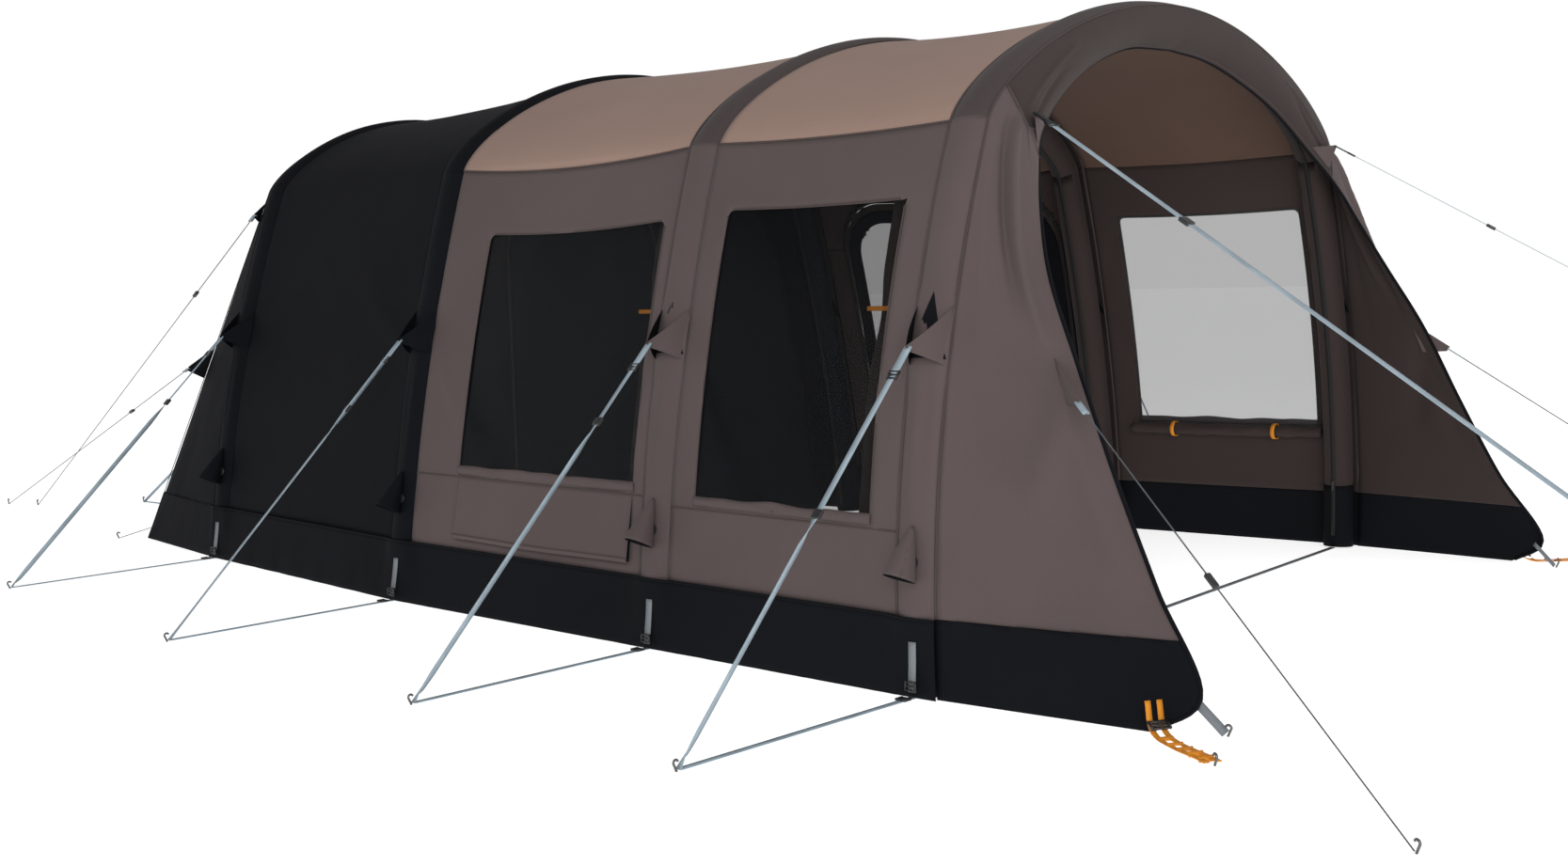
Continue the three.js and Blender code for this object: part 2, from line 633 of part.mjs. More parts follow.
// ---- inner tent, its door and the groundsheet ----
const INNER_SQUASH = INNER_HEIGHT / (ARCHES[2].ridge - INNER_GAP);
function innerRing(y, depth, floor) {
  return WHOLE.map((s) => {
    const point = outline(y, s, INNER_GAP + depth);
    point.z = Math.abs(s) === 1 ? floor : point.z * INNER_SQUASH - depth;
    return point;
  });
}

const innerLengths = range(INNER_FRONT, INNER_BACK, 2);
const innerOuter = loft(innerLengths.map((y) => innerRing(y, 0, SEAM)));
const innerHollow = loft(
  range(INNER_FRONT + CLOTH, INNER_BACK - CLOTH, 2).map((y) => innerRing(y, CLOTH, -PAST)));
const innerShell = innerOuter.subtract(innerHollow);

function frontCutter(shrink) {
  const shape = rounded(INNER_DOOR.x, INNER_DOOR.z, INNER_DOOR.corner, shrink);
  const depth = 2 * PAST;
  const geometry = new THREE.ExtrudeGeometry(shape, { depth, bevelEnabled: false, curveSegments: 5 });
  geometry.rotateX(Math.PI / 2);
  geometry.translate(0, INNER_FRONT + PAST, 0);
  return toManifold(geometry);
}
place('inner_tent', toGeometry(innerShell.subtract(frontCutter(0))), NAVY);
place('inner_door', toGeometry(innerShell.intersect(frontCutter(DOOR_FIT))), NAVY);

function traySolid(inset, bottom, top) {
  const rim = 1 - wallShare((TRAY_HEIGHT + CLOTH + PAST) / INNER_SQUASH);
  const half = (y) => facetPoint(y, rim, INNER_GAP + inset).x;
  const [front, back] = [INNER_FRONT + inset, INNER_BACK - inset];
  const shape = new THREE.Shape([
    new THREE.Vector2(-half(front), front),
    new THREE.Vector2(half(front), front),
    new THREE.Vector2(half(back), back),
    new THREE.Vector2(-half(back), back),
  ]);
  const geometry = new THREE.ExtrudeGeometry(shape, { depth: top - bottom, bevelEnabled: false });
  geometry.translate(0, 0, bottom);
  return toManifold(geometry);
}
const tray = traySolid(TRAY_FIT, 0, TRAY_HEIGHT)
  .subtract(traySolid(TRAY_FIT + SHEET_THICKNESS, SHEET_THICKNESS, TRAY_HEIGHT + PAST));
place('groundsheet', toGeometry(tray), SHEET);

// ---- guys, runners and the strap across the entrance ----
function basisAlong(from, to) {
  const along = new THREE.Vector3().subVectors(to, from).normalize();
  const across = new THREE.Vector3(0, 0, 1).cross(along).normalize();
  const lift = new THREE.Vector3().crossVectors(along, across);
  return new THREE.Matrix4().makeBasis(across, lift, along).setPosition(from);
}

// One straight stretch of webbing or rope: an eight-sided section.
function stretch(from, to, kind) {
  const [halfWidth, halfDepth] = kind === 'rope'
    ? [ROPE_RADIUS, ROPE_RADIUS]
    : [WEBBING_WIDTH / 2, WEBBING_THICKNESS / 2];
  const corners = range(0, 2 * Math.PI, 8).slice(1).map((angle) => new THREE.Vector2(
    halfWidth * Math.cos(angle + Math.PI / 8), halfDepth * Math.sin(angle + Math.PI / 8)));
  const geometry = new THREE.ExtrudeGeometry(
    new THREE.Shape(corners), { depth: from.distanceTo(to), bevelEnabled: false });
  return toManifold(geometry.applyMatrix4(basisAlong(from, to)));
}

function guySolid(guy, side) {
  const [tip, peg, foot] = mirrored(guy.points, side);
  const pulled = stretch(tip, peg, guy.kind);
  return foot ? pulled.add(stretch(peg, foot, guy.kind)) : pulled;
}

SIDE_NAMES.forEach(([side, name]) => {
  ARCHES.forEach((arch, index) => {
    place(`guy_${name}_${index + 1}`, toGeometry(guySolid(sideGuy(arch), side)), WEBBING);
  });
  Object.entries(FREE_GUYS).forEach(([guyName, guy]) => {
    place(`${guyName}_${name}`, toGeometry(guySolid(guy, side)), guy.kind === 'rope' ? BLACK : WEBBING);
  });
});

// Ladder-lock runner: a flat ring that the webbing passes through.
function runnerGeometry(guy, share) {
  const [tip, peg] = mirrored(guy.points, -1);
  const shape = new THREE.Shape();
  const box = (path, w, h) => {
    path.moveTo(-w / 2, -h / 2);
    path.lineTo(w / 2, -h / 2);
    path.lineTo(w / 2, h / 2);
    path.lineTo(-w / 2, h / 2);
    path.closePath();
    return path;
  };
  box(shape, RUNNER.width, RUNNER.depth);
  shape.holes.push(box(new THREE.Path(), WEBBING_WIDTH + 2 * FIT, WEBBING_THICKNESS + 2 * FIT));
  const geometry = new THREE.ExtrudeGeometry(shape, { depth: RUNNER.length, bevelEnabled: false });
  geometry.translate(0, 0, tip.distanceTo(peg) * share);
  return geometry.applyMatrix4(basisAlong(tip, peg));
}
ARCHES.forEach((arch, index) => {
  place(`runner_left_${index + 1}`, runnerGeometry(sideGuy(arch), RUNNER_SHARES[index]), BLACK);
});

const strapEnd = ARCHES[0].foot - BEAM_INSET - BEAM_RADIUS - FIT - 1;
place('threshold_strap', toGeometry(stretch(
  new THREE.Vector3(-strapEnd, ARCHES[0].y, STRAP_HEIGHT),
  new THREE.Vector3(strapEnd, ARCHES[0].y, STRAP_HEIGHT),
  'webbing',
)), WEBBING);

// ---- origin: the middle of the tent's footprint, guys left aside ----
const footprint = new THREE.Box3();
Object.entries(placed).forEach(([name, mesh]) => {
  if (!/^(guy|runner|threshold)/.test(name)) footprint.expandByObject(mesh);
});
tent.position.y = -(footprint.min.y + footprint.max.y) / 2;
tent.updateMatrixWorld(true);

export default tent;
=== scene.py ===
"""Inflatable tunnel tent: cloth, windows, guys and fittings built round its frame.

Metres. +X right as seen from the open front, +Y towards the bedroom, +Z up.
"""

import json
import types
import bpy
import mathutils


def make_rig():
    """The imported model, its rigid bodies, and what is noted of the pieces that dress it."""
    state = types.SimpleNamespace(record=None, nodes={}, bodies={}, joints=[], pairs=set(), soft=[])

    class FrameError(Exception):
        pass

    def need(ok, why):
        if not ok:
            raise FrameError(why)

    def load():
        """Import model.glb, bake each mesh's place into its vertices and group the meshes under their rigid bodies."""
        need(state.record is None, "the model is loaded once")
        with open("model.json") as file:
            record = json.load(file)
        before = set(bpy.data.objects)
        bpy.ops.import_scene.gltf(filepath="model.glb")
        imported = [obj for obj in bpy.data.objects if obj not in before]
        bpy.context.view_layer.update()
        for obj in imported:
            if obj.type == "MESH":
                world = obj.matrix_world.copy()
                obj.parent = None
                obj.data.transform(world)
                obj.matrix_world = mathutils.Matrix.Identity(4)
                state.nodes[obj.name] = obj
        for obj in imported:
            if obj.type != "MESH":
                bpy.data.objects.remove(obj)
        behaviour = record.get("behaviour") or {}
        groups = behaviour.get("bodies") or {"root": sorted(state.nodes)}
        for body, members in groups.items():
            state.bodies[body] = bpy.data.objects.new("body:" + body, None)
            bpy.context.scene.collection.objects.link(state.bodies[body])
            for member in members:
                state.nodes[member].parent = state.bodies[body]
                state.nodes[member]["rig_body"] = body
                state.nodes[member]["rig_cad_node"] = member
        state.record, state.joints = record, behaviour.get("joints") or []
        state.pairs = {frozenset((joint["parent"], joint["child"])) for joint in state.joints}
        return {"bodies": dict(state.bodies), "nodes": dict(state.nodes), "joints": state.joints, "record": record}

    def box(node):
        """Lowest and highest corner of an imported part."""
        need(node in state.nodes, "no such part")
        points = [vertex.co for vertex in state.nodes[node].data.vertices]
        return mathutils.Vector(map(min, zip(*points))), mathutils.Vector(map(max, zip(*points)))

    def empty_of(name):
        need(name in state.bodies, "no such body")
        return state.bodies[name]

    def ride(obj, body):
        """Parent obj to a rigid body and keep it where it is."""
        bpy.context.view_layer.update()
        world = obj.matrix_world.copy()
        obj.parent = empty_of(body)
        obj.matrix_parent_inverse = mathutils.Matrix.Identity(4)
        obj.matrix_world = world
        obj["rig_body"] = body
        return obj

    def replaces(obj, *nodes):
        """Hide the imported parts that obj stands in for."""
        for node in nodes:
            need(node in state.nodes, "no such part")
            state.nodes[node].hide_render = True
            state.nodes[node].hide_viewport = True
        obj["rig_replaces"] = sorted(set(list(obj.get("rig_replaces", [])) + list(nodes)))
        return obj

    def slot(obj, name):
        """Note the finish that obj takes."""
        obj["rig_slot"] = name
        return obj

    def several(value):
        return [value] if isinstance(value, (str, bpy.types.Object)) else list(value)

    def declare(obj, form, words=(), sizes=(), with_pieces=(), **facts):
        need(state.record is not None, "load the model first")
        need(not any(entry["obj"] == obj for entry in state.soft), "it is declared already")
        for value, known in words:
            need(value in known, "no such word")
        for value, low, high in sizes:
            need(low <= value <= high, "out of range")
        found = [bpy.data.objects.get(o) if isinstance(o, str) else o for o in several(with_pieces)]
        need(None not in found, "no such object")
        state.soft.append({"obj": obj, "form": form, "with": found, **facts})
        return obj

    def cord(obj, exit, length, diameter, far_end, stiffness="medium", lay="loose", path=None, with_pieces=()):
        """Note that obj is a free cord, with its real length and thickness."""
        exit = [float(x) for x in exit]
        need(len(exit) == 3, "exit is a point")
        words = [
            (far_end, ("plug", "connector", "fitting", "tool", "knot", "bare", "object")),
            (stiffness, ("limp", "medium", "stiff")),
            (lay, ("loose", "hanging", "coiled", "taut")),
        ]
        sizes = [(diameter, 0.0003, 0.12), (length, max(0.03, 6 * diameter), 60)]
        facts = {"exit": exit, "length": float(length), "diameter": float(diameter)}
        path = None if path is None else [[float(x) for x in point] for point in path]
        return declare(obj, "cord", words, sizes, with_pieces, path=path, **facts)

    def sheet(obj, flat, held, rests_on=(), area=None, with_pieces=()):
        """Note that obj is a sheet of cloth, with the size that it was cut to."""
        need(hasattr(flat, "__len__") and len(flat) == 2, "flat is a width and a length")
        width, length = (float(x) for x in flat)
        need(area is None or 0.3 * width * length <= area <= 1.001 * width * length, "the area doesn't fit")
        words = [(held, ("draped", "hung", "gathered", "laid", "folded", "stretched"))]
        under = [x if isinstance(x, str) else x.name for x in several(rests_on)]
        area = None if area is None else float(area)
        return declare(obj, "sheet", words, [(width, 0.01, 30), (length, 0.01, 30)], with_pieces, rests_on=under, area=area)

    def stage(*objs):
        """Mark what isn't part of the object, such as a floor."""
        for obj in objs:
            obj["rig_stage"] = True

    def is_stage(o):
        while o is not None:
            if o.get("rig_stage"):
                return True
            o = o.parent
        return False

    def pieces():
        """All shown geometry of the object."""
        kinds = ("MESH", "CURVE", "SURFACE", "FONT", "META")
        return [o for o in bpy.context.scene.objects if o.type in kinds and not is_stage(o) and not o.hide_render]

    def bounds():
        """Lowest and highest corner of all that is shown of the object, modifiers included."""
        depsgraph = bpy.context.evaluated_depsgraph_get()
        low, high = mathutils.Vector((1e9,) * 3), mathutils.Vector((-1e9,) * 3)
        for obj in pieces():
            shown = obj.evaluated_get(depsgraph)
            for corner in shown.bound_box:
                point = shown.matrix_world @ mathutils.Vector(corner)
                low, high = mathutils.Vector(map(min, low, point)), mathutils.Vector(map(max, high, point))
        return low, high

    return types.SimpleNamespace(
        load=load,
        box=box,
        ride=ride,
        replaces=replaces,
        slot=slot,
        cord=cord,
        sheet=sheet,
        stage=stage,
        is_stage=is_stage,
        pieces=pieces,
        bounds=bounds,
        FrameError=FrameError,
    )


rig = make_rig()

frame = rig.load()

import json
import math

import bmesh
import bpy
from bpy.props import FloatProperty, FloatVectorProperty, PointerProperty
from mathutils import Matrix, Vector, noise

bl_info = {
    "name": "Inflatable Tunnel Tent",
    "version": (1, 0, 0),
    "blender": (4, 5, 0),
    "location": "View3D > Sidebar > Tent",
    "description": "Builds the cloth, windows, guys and fittings of an inflatable tunnel tent",
    "category": "Add Mesh",
}

CAD_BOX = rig.bounds()
SHELL = "tent_shell"

# ---- outline of the flysheet: the same sizes as the frame's ----
FOOT = (1.600, 1.555, 1.485, 1.285)
EAVE = (1.285, 1.225, 1.115, 0.880)
BELLY = (0.100, 0.062, 0.045, 0.062)
RIDGE = (2.120, 2.120, 2.118, 2.045)
ARCHES = range(4)
EAVE_HEIGHT = 1.668
FLAP_HEIGHT = 0.235
REAR_LENGTH = 0.890
REAR_HALF_WIDTH = 1.110
PANEL_INSET = 0.020
BAND_HALF = 0.066
BEAM_RADIUS = 0.060
BEAM_INSET = 0.065
SEAM = 0.001
INNER_GAP = 0.136
INNER_HEIGHT = 1.790
VALVE_HEIGHT = 0.395
HOOD_TOP = 0.485
GUY_HEIGHT = 1.000
TAB_REACH = 0.098
PEG_DISTANCE = 0.912
PEG_OFFSET = 0.070
STRAP_HEIGHT = 0.004
STRAP_CLEARANCE = 0.006


def middle_y(node):
    low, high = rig.box(node)
    return (low.y + high.y) / 2


ARCH_Y = [middle_y(f"air_beam_{n + 1}") for n in ARCHES]
FIRST = ARCH_Y[0] - 0.062          # front seam of the first arch


def span_of(node):
    """Lowest and highest Y, and lowest and highest Z, of a flat piece in a side wall."""
    low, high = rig.box(node)
    return low.y, high.y, low.z, high.z


# ---- free edge of the canopy and the routes of the guys, for the right side ----
CANOPY_EDGE = [
    (1.540, -0.650, 0.000), (1.503, -0.775, 0.089), (1.445, -0.625, 0.357),
    (1.409, -0.483, 0.648), (1.367, -0.346, 0.951), (1.301, -0.223, 1.186),
    (1.218, -0.145, 1.361), (1.137, -0.090, 1.500), (1.016, -0.031, 1.629),
    (0.733, 0.020, 1.809), (0.328, 0.062, 1.941), (0.000, 0.068, 1.968),
]
HOOD_SHARE = 0.6
FREE_GUYS = {
    "guy_hood": [(1.128, -0.085, 1.668), (1.883, -2.795, 0.004)],
    "guy_wing": [(1.479, -0.412, 0.852), (2.063, -1.522, 0.003)],
    "guy_rear_high": [(0.925, 4.282, 1.560), (0.760, 6.900, 0.003)],
    "guy_rear_corner": [(1.062, 4.700, 0.845), (0.830, 7.110, 0.003)],
    "guy_rear_middle": [(0.360, 4.790, 0.960), (0.360, 6.430, 0.004), (0.360, 5.080, 0.004)],
}
ROPES = ("guy_wing", "guy_rear_high", "guy_rear_corner")
SIDES = ((-1, "left"), (1, "right"))


class TentSizes(bpy.types.PropertyGroup):
    """Sizes of the cloth and fittings."""

    cloth: FloatProperty(
        name="Cloth", description="Thickness of the sewn cloth", default=0.0016, unit="LENGTH")
    film: FloatProperty(
        name="Film", description="Thickness of the clear windows", default=0.0008, unit="LENGTH")
    cell: FloatProperty(
        name="Cell", description="Spacing of the points in a panel", default=0.022, unit="LENGTH")
    slack: FloatProperty(
        name="Slack", description="How far a wall sinks in between two arches", default=0.006,
        unit="LENGTH")
    roof_sag: FloatProperty(
        name="Roof Sag", description="How far the roof sinks in between two arches",
        default=0.020, unit="LENGTH")
    wrinkle: FloatProperty(
        name="Wrinkle", description="Height of the soft waves in the cloth", default=0.0022,
        unit="LENGTH")
    webbing: FloatProperty(
        name="Webbing", description="Width of the guys' webbing", default=0.022, unit="LENGTH")
    webbing_thickness: FloatProperty(
        name="Webbing Thickness", description="Thickness of the guys' webbing",
        default=0.0022, unit="LENGTH")
    rope: FloatProperty(
        name="Rope", description="Radius of the guy ropes", default=0.0020, unit="LENGTH")
    piping: FloatProperty(
        name="Piping", description="Radius of the piping on the canopy", default=0.006,
        unit="LENGTH")
    peg: FloatProperty(
        name="Peg", description="Radius of a peg", default=0.0035, unit="LENGTH")


def colour(label, text, value):
    return FloatVectorProperty(
        name=label, description=text, subtype="COLOR", size=3, min=0.0, max=1.0, default=value)


class TentColours(bpy.types.PropertyGroup):
    """Colours of the cloth and fittings, in linear light."""

    taupe: colour("Taupe", "Walls, wings and doors", (0.080, 0.0605, 0.0590))
    # The inner taupe is a darker copy of the taupe: mostly painted shade for the inner faces, beams and blinds inside
    # the tent.
    taupe_painted_shade: colour("Taupe Painted Shade", "Inner face of the walls", (0.033, 0.0235, 0.0215))
    sand: colour("Sand", "Roof panels", (0.270, 0.182, 0.147))
    # The inner sand is a darker copy of the sand: painted shade on the underside of the roof.
    sand_painted_shade: colour("Sand Painted Shade", "Inner face of the roof", (0.088, 0.052, 0.039))
    sleeve: colour("Sleeve", "Bands over the first two arches and the hood", (0.052, 0.040, 0.039))
    black: colour("Black", "Bedroom fly, rear wall and mud flaps", (0.0034, 0.0038, 0.0054))
    navy: colour("Navy", "Inner tent", (0.0040, 0.0050, 0.0080))
    webbing: colour("Webbing", "Guys and webbing ends", (0.270, 0.335, 0.380))
    orange: colour("Orange", "Corner straps and toggles", (0.650, 0.235, 0.012))
    plastic: colour("Plastic", "Buckles, caps and runners", (0.010, 0.010, 0.011))
    steel: colour("Steel", "Pegs", (0.120, 0.120, 0.122))
    film: colour("Film", "Tint of the clear windows", (0.0022, 0.0025, 0.0030))


def sizes():
    return bpy.context.scene.tent_sizes


def colours():
    return bpy.context.scene.tent_colours


# ---- materials ----
class Nodes:
    """A material's node tree, with short calls to add and join nodes."""

    def __init__(self, name):
        self.material = bpy.data.materials.new(name)
        self.material.use_nodes = True
        self.tree = self.material.node_tree
        self.shader = self.tree.nodes["Principled BSDF"]

    def add(self, kind, **values):
        node = self.tree.nodes.new(kind)
        for key, value in values.items():
            if hasattr(node, key):
                setattr(node, key, value)
            else:
                node.inputs[key.replace("_", " ")].default_value = value
        return node

    def join(self, output, target):
        self.tree.links.new(output, target)

    def set(self, **values):
        for key, value in values.items():
            self.shader.inputs[key.replace("_", " ")].default_value = value


def shade_of(base, factor):
    return (*[min(1.0, part * factor) for part in base], 1.0)


def cloth_material(name, base, roughness=0.78, thread=0.0011, weave=0.25, patchy=0.10, sheen=0.04):
    """Woven cloth: crossed threads, soft patches of lighter and darker dye, and a dull sheen."""
    made = Nodes(name)
    place = made.add("ShaderNodeTexCoord")
    patches = made.add("ShaderNodeTexNoise", Scale=1.7, Detail=3.0)
    grain = made.add("ShaderNodeTexNoise", Scale=130.0, Detail=4.0)
    mixed = made.add("ShaderNodeMath", operation="MULTIPLY_ADD")
    mixed.inputs[1].default_value = 0.35
    ramp = made.add("ShaderNodeValToRGB")
    ramp.color_ramp.elements[0].position = 0.36
    ramp.color_ramp.elements[0].color = shade_of(base, 1.0 - patchy)
    ramp.color_ramp.elements[1].position = 0.94
    ramp.color_ramp.elements[1].color = shade_of(base, 1.0 + patchy)
    made.join(place.outputs["Object"], patches.inputs["Vector"])
    made.join(place.outputs["Object"], grain.inputs["Vector"])
    made.join(grain.outputs["Fac"], mixed.inputs[0])
    made.join(patches.outputs["Fac"], mixed.inputs[2])
    made.join(mixed.outputs[0], ramp.inputs["Fac"])
    made.join(ramp.outputs["Color"], made.shader.inputs["Base Color"])
    threads = []
    for direction in ("X", "Y"):
        wave = made.add(
            "ShaderNodeTexWave", bands_direction=direction, Scale=math.tau / 20 / thread,
            Distortion=0.6, Detail=1.0)
        made.join(place.outputs["UV"], wave.inputs["Vector"])
        threads.append(wave)
    crossed = made.add("ShaderNodeMath", operation="MULTIPLY")
    made.join(threads[0].outputs["Fac"], crossed.inputs[0])
    made.join(threads[1].outputs["Fac"], crossed.inputs[1])
    creases = made.add("ShaderNodeTexNoise", Scale=7.0, Detail=5.0)
    made.join(place.outputs["Object"], creases.inputs["Vector"])
    soft = made.add("ShaderNodeBump", Strength=0.22, Distance=0.010)
    fine = made.add("ShaderNodeBump", Strength=weave, Distance=0.0004)
    made.join(creases.outputs["Fac"], soft.inputs["Height"])
    made.join(crossed.outputs[0], fine.inputs["Height"])
    made.join(soft.outputs["Normal"], fine.inputs["Normal"])
    made.join(fine.outputs["Normal"], made.shader.inputs["Normal"])
    made.set(
        Roughness=roughness, Sheen_Weight=sheen, Sheen_Roughness=0.5,
        Specular_IOR_Level=0.10 + sheen)
    return made.material


def webbing_material(name, base, roughness=0.62):
    """Flat woven strap: ribs across it and soft patches of paler and darker threads."""
    made = Nodes(name)
    place = made.add("ShaderNodeTexCoord")
    ribs = made.add("ShaderNodeTexWave", bands_direction="X", Scale=math.tau / 20 / 0.0022)
    ribs.inputs["Distortion"].default_value = 0.4
    runs = made.add("ShaderNodeTexNoise", Scale=9.0, Detail=3.0)
    ramp = made.add("ShaderNodeValToRGB")
    ramp.color_ramp.elements[0].position = 0.30
    ramp.color_ramp.elements[0].color = shade_of(base, 0.82)
    ramp.color_ramp.elements[1].position = 0.75
    ramp.color_ramp.elements[1].color = shade_of(base, 1.18)
    bump = made.add("ShaderNodeBump", Strength=0.5, Distance=0.0005)
    made.join(place.outputs["UV"], ribs.inputs["Vector"])
    made.join(place.outputs["Object"], runs.inputs["Vector"])
    made.join(runs.outputs["Fac"], ramp.inputs["Fac"])
    made.join(ramp.outputs["Color"], made.shader.inputs["Base Color"])
    made.join(ribs.outputs["Fac"], bump.inputs["Height"])
    made.join(bump.outputs["Normal"], made.shader.inputs["Normal"])
    made.set(Roughness=roughness, Sheen_Weight=0.03, Specular_IOR_Level=0.25)
    return made.material


def rope_material(name, base):
    """Braided cord: strands that cross at a slant round it."""
    made = Nodes(name)
    place = made.add("ShaderNodeTexCoord")
    strands = made.add("ShaderNodeTexVoronoi", Scale=520.0)
    ramp = made.add("ShaderNodeValToRGB")
    ramp.color_ramp.elements[0].color = shade_of(base, 1.5)
    ramp.color_ramp.elements[1].color = shade_of(base, 0.5)
    bump = made.add("ShaderNodeBump", Strength=0.6, Distance=0.0005)
    made.join(place.outputs["Object"], strands.inputs["Vector"])
    made.join(strands.outputs["Distance"], ramp.inputs["Fac"])
    made.join(ramp.outputs["Color"], made.shader.inputs["Base Color"])
    made.join(strands.outputs["Distance"], bump.inputs["Height"])
    made.join(bump.outputs["Normal"], made.shader.inputs["Normal"])
    made.set(Roughness=0.7)
    return made.material


def plastic_material(name, base, roughness=0.42, grain=900.0, metal=0.0):
    """Moulded plastic or bare metal with a fine grain and slightly uneven gloss."""
    made = Nodes(name)
    place = made.add("ShaderNodeTexCoord")
    speck = made.add("ShaderNodeTexNoise", Scale=grain, Detail=2.0)
    wear = made.add("ShaderNodeTexNoise", Scale=35.0, Detail=4.0)
    gloss = made.add("ShaderNodeMapRange", To_Min=roughness * 0.8, To_Max=roughness * 1.25)
    tone = made.add("ShaderNodeValToRGB")
    tone.color_ramp.elements[0].color = shade_of(base, 0.85)
    tone.color_ramp.elements[1].color = shade_of(base, 1.2)
    bump = made.add("ShaderNodeBump", Strength=0.25, Distance=0.0003)
    for texture in (speck, wear):
        made.join(place.outputs["Object"], texture.inputs["Vector"])
    made.join(wear.outputs["Fac"], gloss.inputs["Value"])
    made.join(wear.outputs["Fac"], tone.inputs["Fac"])
    made.join(gloss.outputs["Result"], made.shader.inputs["Roughness"])
    made.join(tone.outputs["Color"], made.shader.inputs["Base Color"])
    made.join(speck.outputs["Fac"], bump.inputs["Height"])
    made.join(bump.outputs["Normal"], made.shader.inputs["Normal"])
    made.set(Metallic=metal)
    return made.material


def film_material(name, base, opacity):
    """Clear tinted film: glossy, with faint ripples."""
    made = Nodes(name)
    place = made.add("ShaderNodeTexCoord")
    ripple = made.add("ShaderNodeTexNoise", Scale=5.0, Detail=3.0)
    cloudy = made.add("ShaderNodeValToRGB")
    cloudy.color_ramp.elements[0].color = shade_of(base, 0.85)
    cloudy.color_ramp.elements[1].color = shade_of(base, 1.2)
    bump = made.add("ShaderNodeBump", Strength=0.35, Distance=0.012)
    made.join(place.outputs["Object"], ripple.inputs["Vector"])
    made.join(ripple.outputs["Fac"], cloudy.inputs["Fac"])
    made.join(cloudy.outputs["Color"], made.shader.inputs["Base Color"])
    made.join(ripple.outputs["Fac"], bump.inputs["Height"])
    made.join(bump.outputs["Normal"], made.shader.inputs["Normal"])
    made.set(Roughness=0.15, Alpha=opacity, Specular_IOR_Level=0.12)
    return made.material


def mesh_material(name, base):
    """Fine insect mesh, as a dark woven grid."""
    return cloth_material(name, base, roughness=0.9, thread=0.0018, weave=0.8, patchy=0.2)


PALETTE = {}


def finish(name):
    """The named material, made the first time it is asked for."""
    if name not in PALETTE:
        tint = colours()
        makers = {
            "taupe": lambda: cloth_material("taupe cloth", tint.taupe),
            # The inner-face finishes are darker copies of their cloth: painted shade of the tent's inside.
            "taupe_painted_shade": lambda: cloth_material("taupe cloth painted shade", tint.taupe_painted_shade),
            "sand": lambda: cloth_material("sand cloth", tint.sand, patchy=0.05),
            # Inner face of the roof: a darker copy of the sand as painted shade.
            "sand_painted_shade": lambda: cloth_material("sand cloth painted shade", tint.sand_painted_shade),
            "sleeve": lambda: cloth_material("sleeve cloth", tint.sleeve),
            "seam": lambda: cloth_material("seam cloth", (0.058, 0.044, 0.042), patchy=0.05),
            "black": lambda: cloth_material(
                "black cloth", tint.black, roughness=0.85, patchy=0.2, sheen=0.0),
            "navy": lambda: cloth_material(
                "inner tent cloth", tint.navy, patchy=0.15, sheen=0.0),
            "mesh": lambda: mesh_material("insect mesh", tint.black),
            "sheet": lambda: plastic_material("groundsheet", (0.024, 0.028, 0.034), 0.55, 60.0),
            "webbing": lambda: webbing_material("pale webbing", tint.webbing),
            "grey_webbing": lambda: webbing_material("grey webbing", (0.16, 0.175, 0.19)),
            "orange": lambda: webbing_material("orange webbing", tint.orange),
            "black_webbing": lambda: webbing_material("black webbing", (0.006, 0.006, 0.007)),
            "rope": lambda: rope_material("guy rope", (0.060, 0.066, 0.074)),
            "plastic": lambda: plastic_material("black plastic", tint.plastic),
            "steel": lambda: plastic_material("peg steel", tint.steel, 0.35, 500.0, 0.9),
            "film": lambda: film_material("dark window film", tint.film, 0.30),
            "clear": lambda: film_material("clear window film", (0.06, 0.06, 0.06), 0.36),
        }
        PALETTE[name] = makers[name]()
    return PALETTE[name]


# ---- outline of the flysheet ----
def mix(low, high, share):
    return low + (high - low) * share


def clamp(value, low=0.0, high=1.0):
    return min(max(value, low), high)


def smooth_step(value, low, high):
    share = clamp((value - low) / (high - low))
    return share * share * (3 - 2 * share)


def section_at(y):
    """Foot, eave, belly and ridge at any length, mixed from the two arches beside it."""
    index = 0
    while index < len(ARCH_Y) - 2 and y > ARCH_Y[index + 1]:
        index += 1
    share = clamp((y - ARCH_Y[index]) / (ARCH_Y[index + 1] - ARCH_Y[index]))
    return [mix(row[index], row[index + 1], share) for row in (FOOT, EAVE, BELLY, RIDGE)]


def bezier(points, t):
    """Point at t on a Bezier curve through its control points."""
    while len(points) > 1:
        points = [a.lerp(b, t) for a, b in zip(points, points[1:])]
    return points[0]


def half_outline(section, share):
    """X and Z from the foot (share 0) over the eave (0.5) to the ridge (1)."""
    foot, eave, belly, ridge = section
    if share <= 0.5:
        t = share * 2
        return Vector((mix(foot, eave, t) + belly * 4 * t * (1 - t), EAVE_HEIGHT * t))
    rise = ridge - EAVE_HEIGHT
    roof = [
        Vector((eave, EAVE_HEIGHT)), Vector((eave * 0.94, EAVE_HEIGHT + rise * 0.34)),
        Vector((eave * 0.5, ridge)), Vector((0.0, ridge))]
    return bezier(roof, share * 2 - 1)


def outline(y, position, inset=0.0):
    """Point of the outline from -1 (left foot) to 1 (right foot), moved inwards."""
    section = section_at(y)
    share = 1 - abs(position)
    side = -1 if position < 0 else 1
    here = half_outline(section, share)
    if share >= 1:
        return Vector((0.0, y, here.y - inset))
    step = 1e-3
    along = half_outline(section, min(share + step, 1)) - half_outline(section, max(share - step, 0))
    along.normalize()
    return Vector((side * max(here.x - along.y * inset, 0.0), y, max(here.y + along.x * inset, 0.0)))


def wall_share(height):
    return height / EAVE_HEIGHT / 2


def wall_point(side, y, z, inset=PANEL_INSET):
    return outline(y, side * (1 - wall_share(z)), inset)


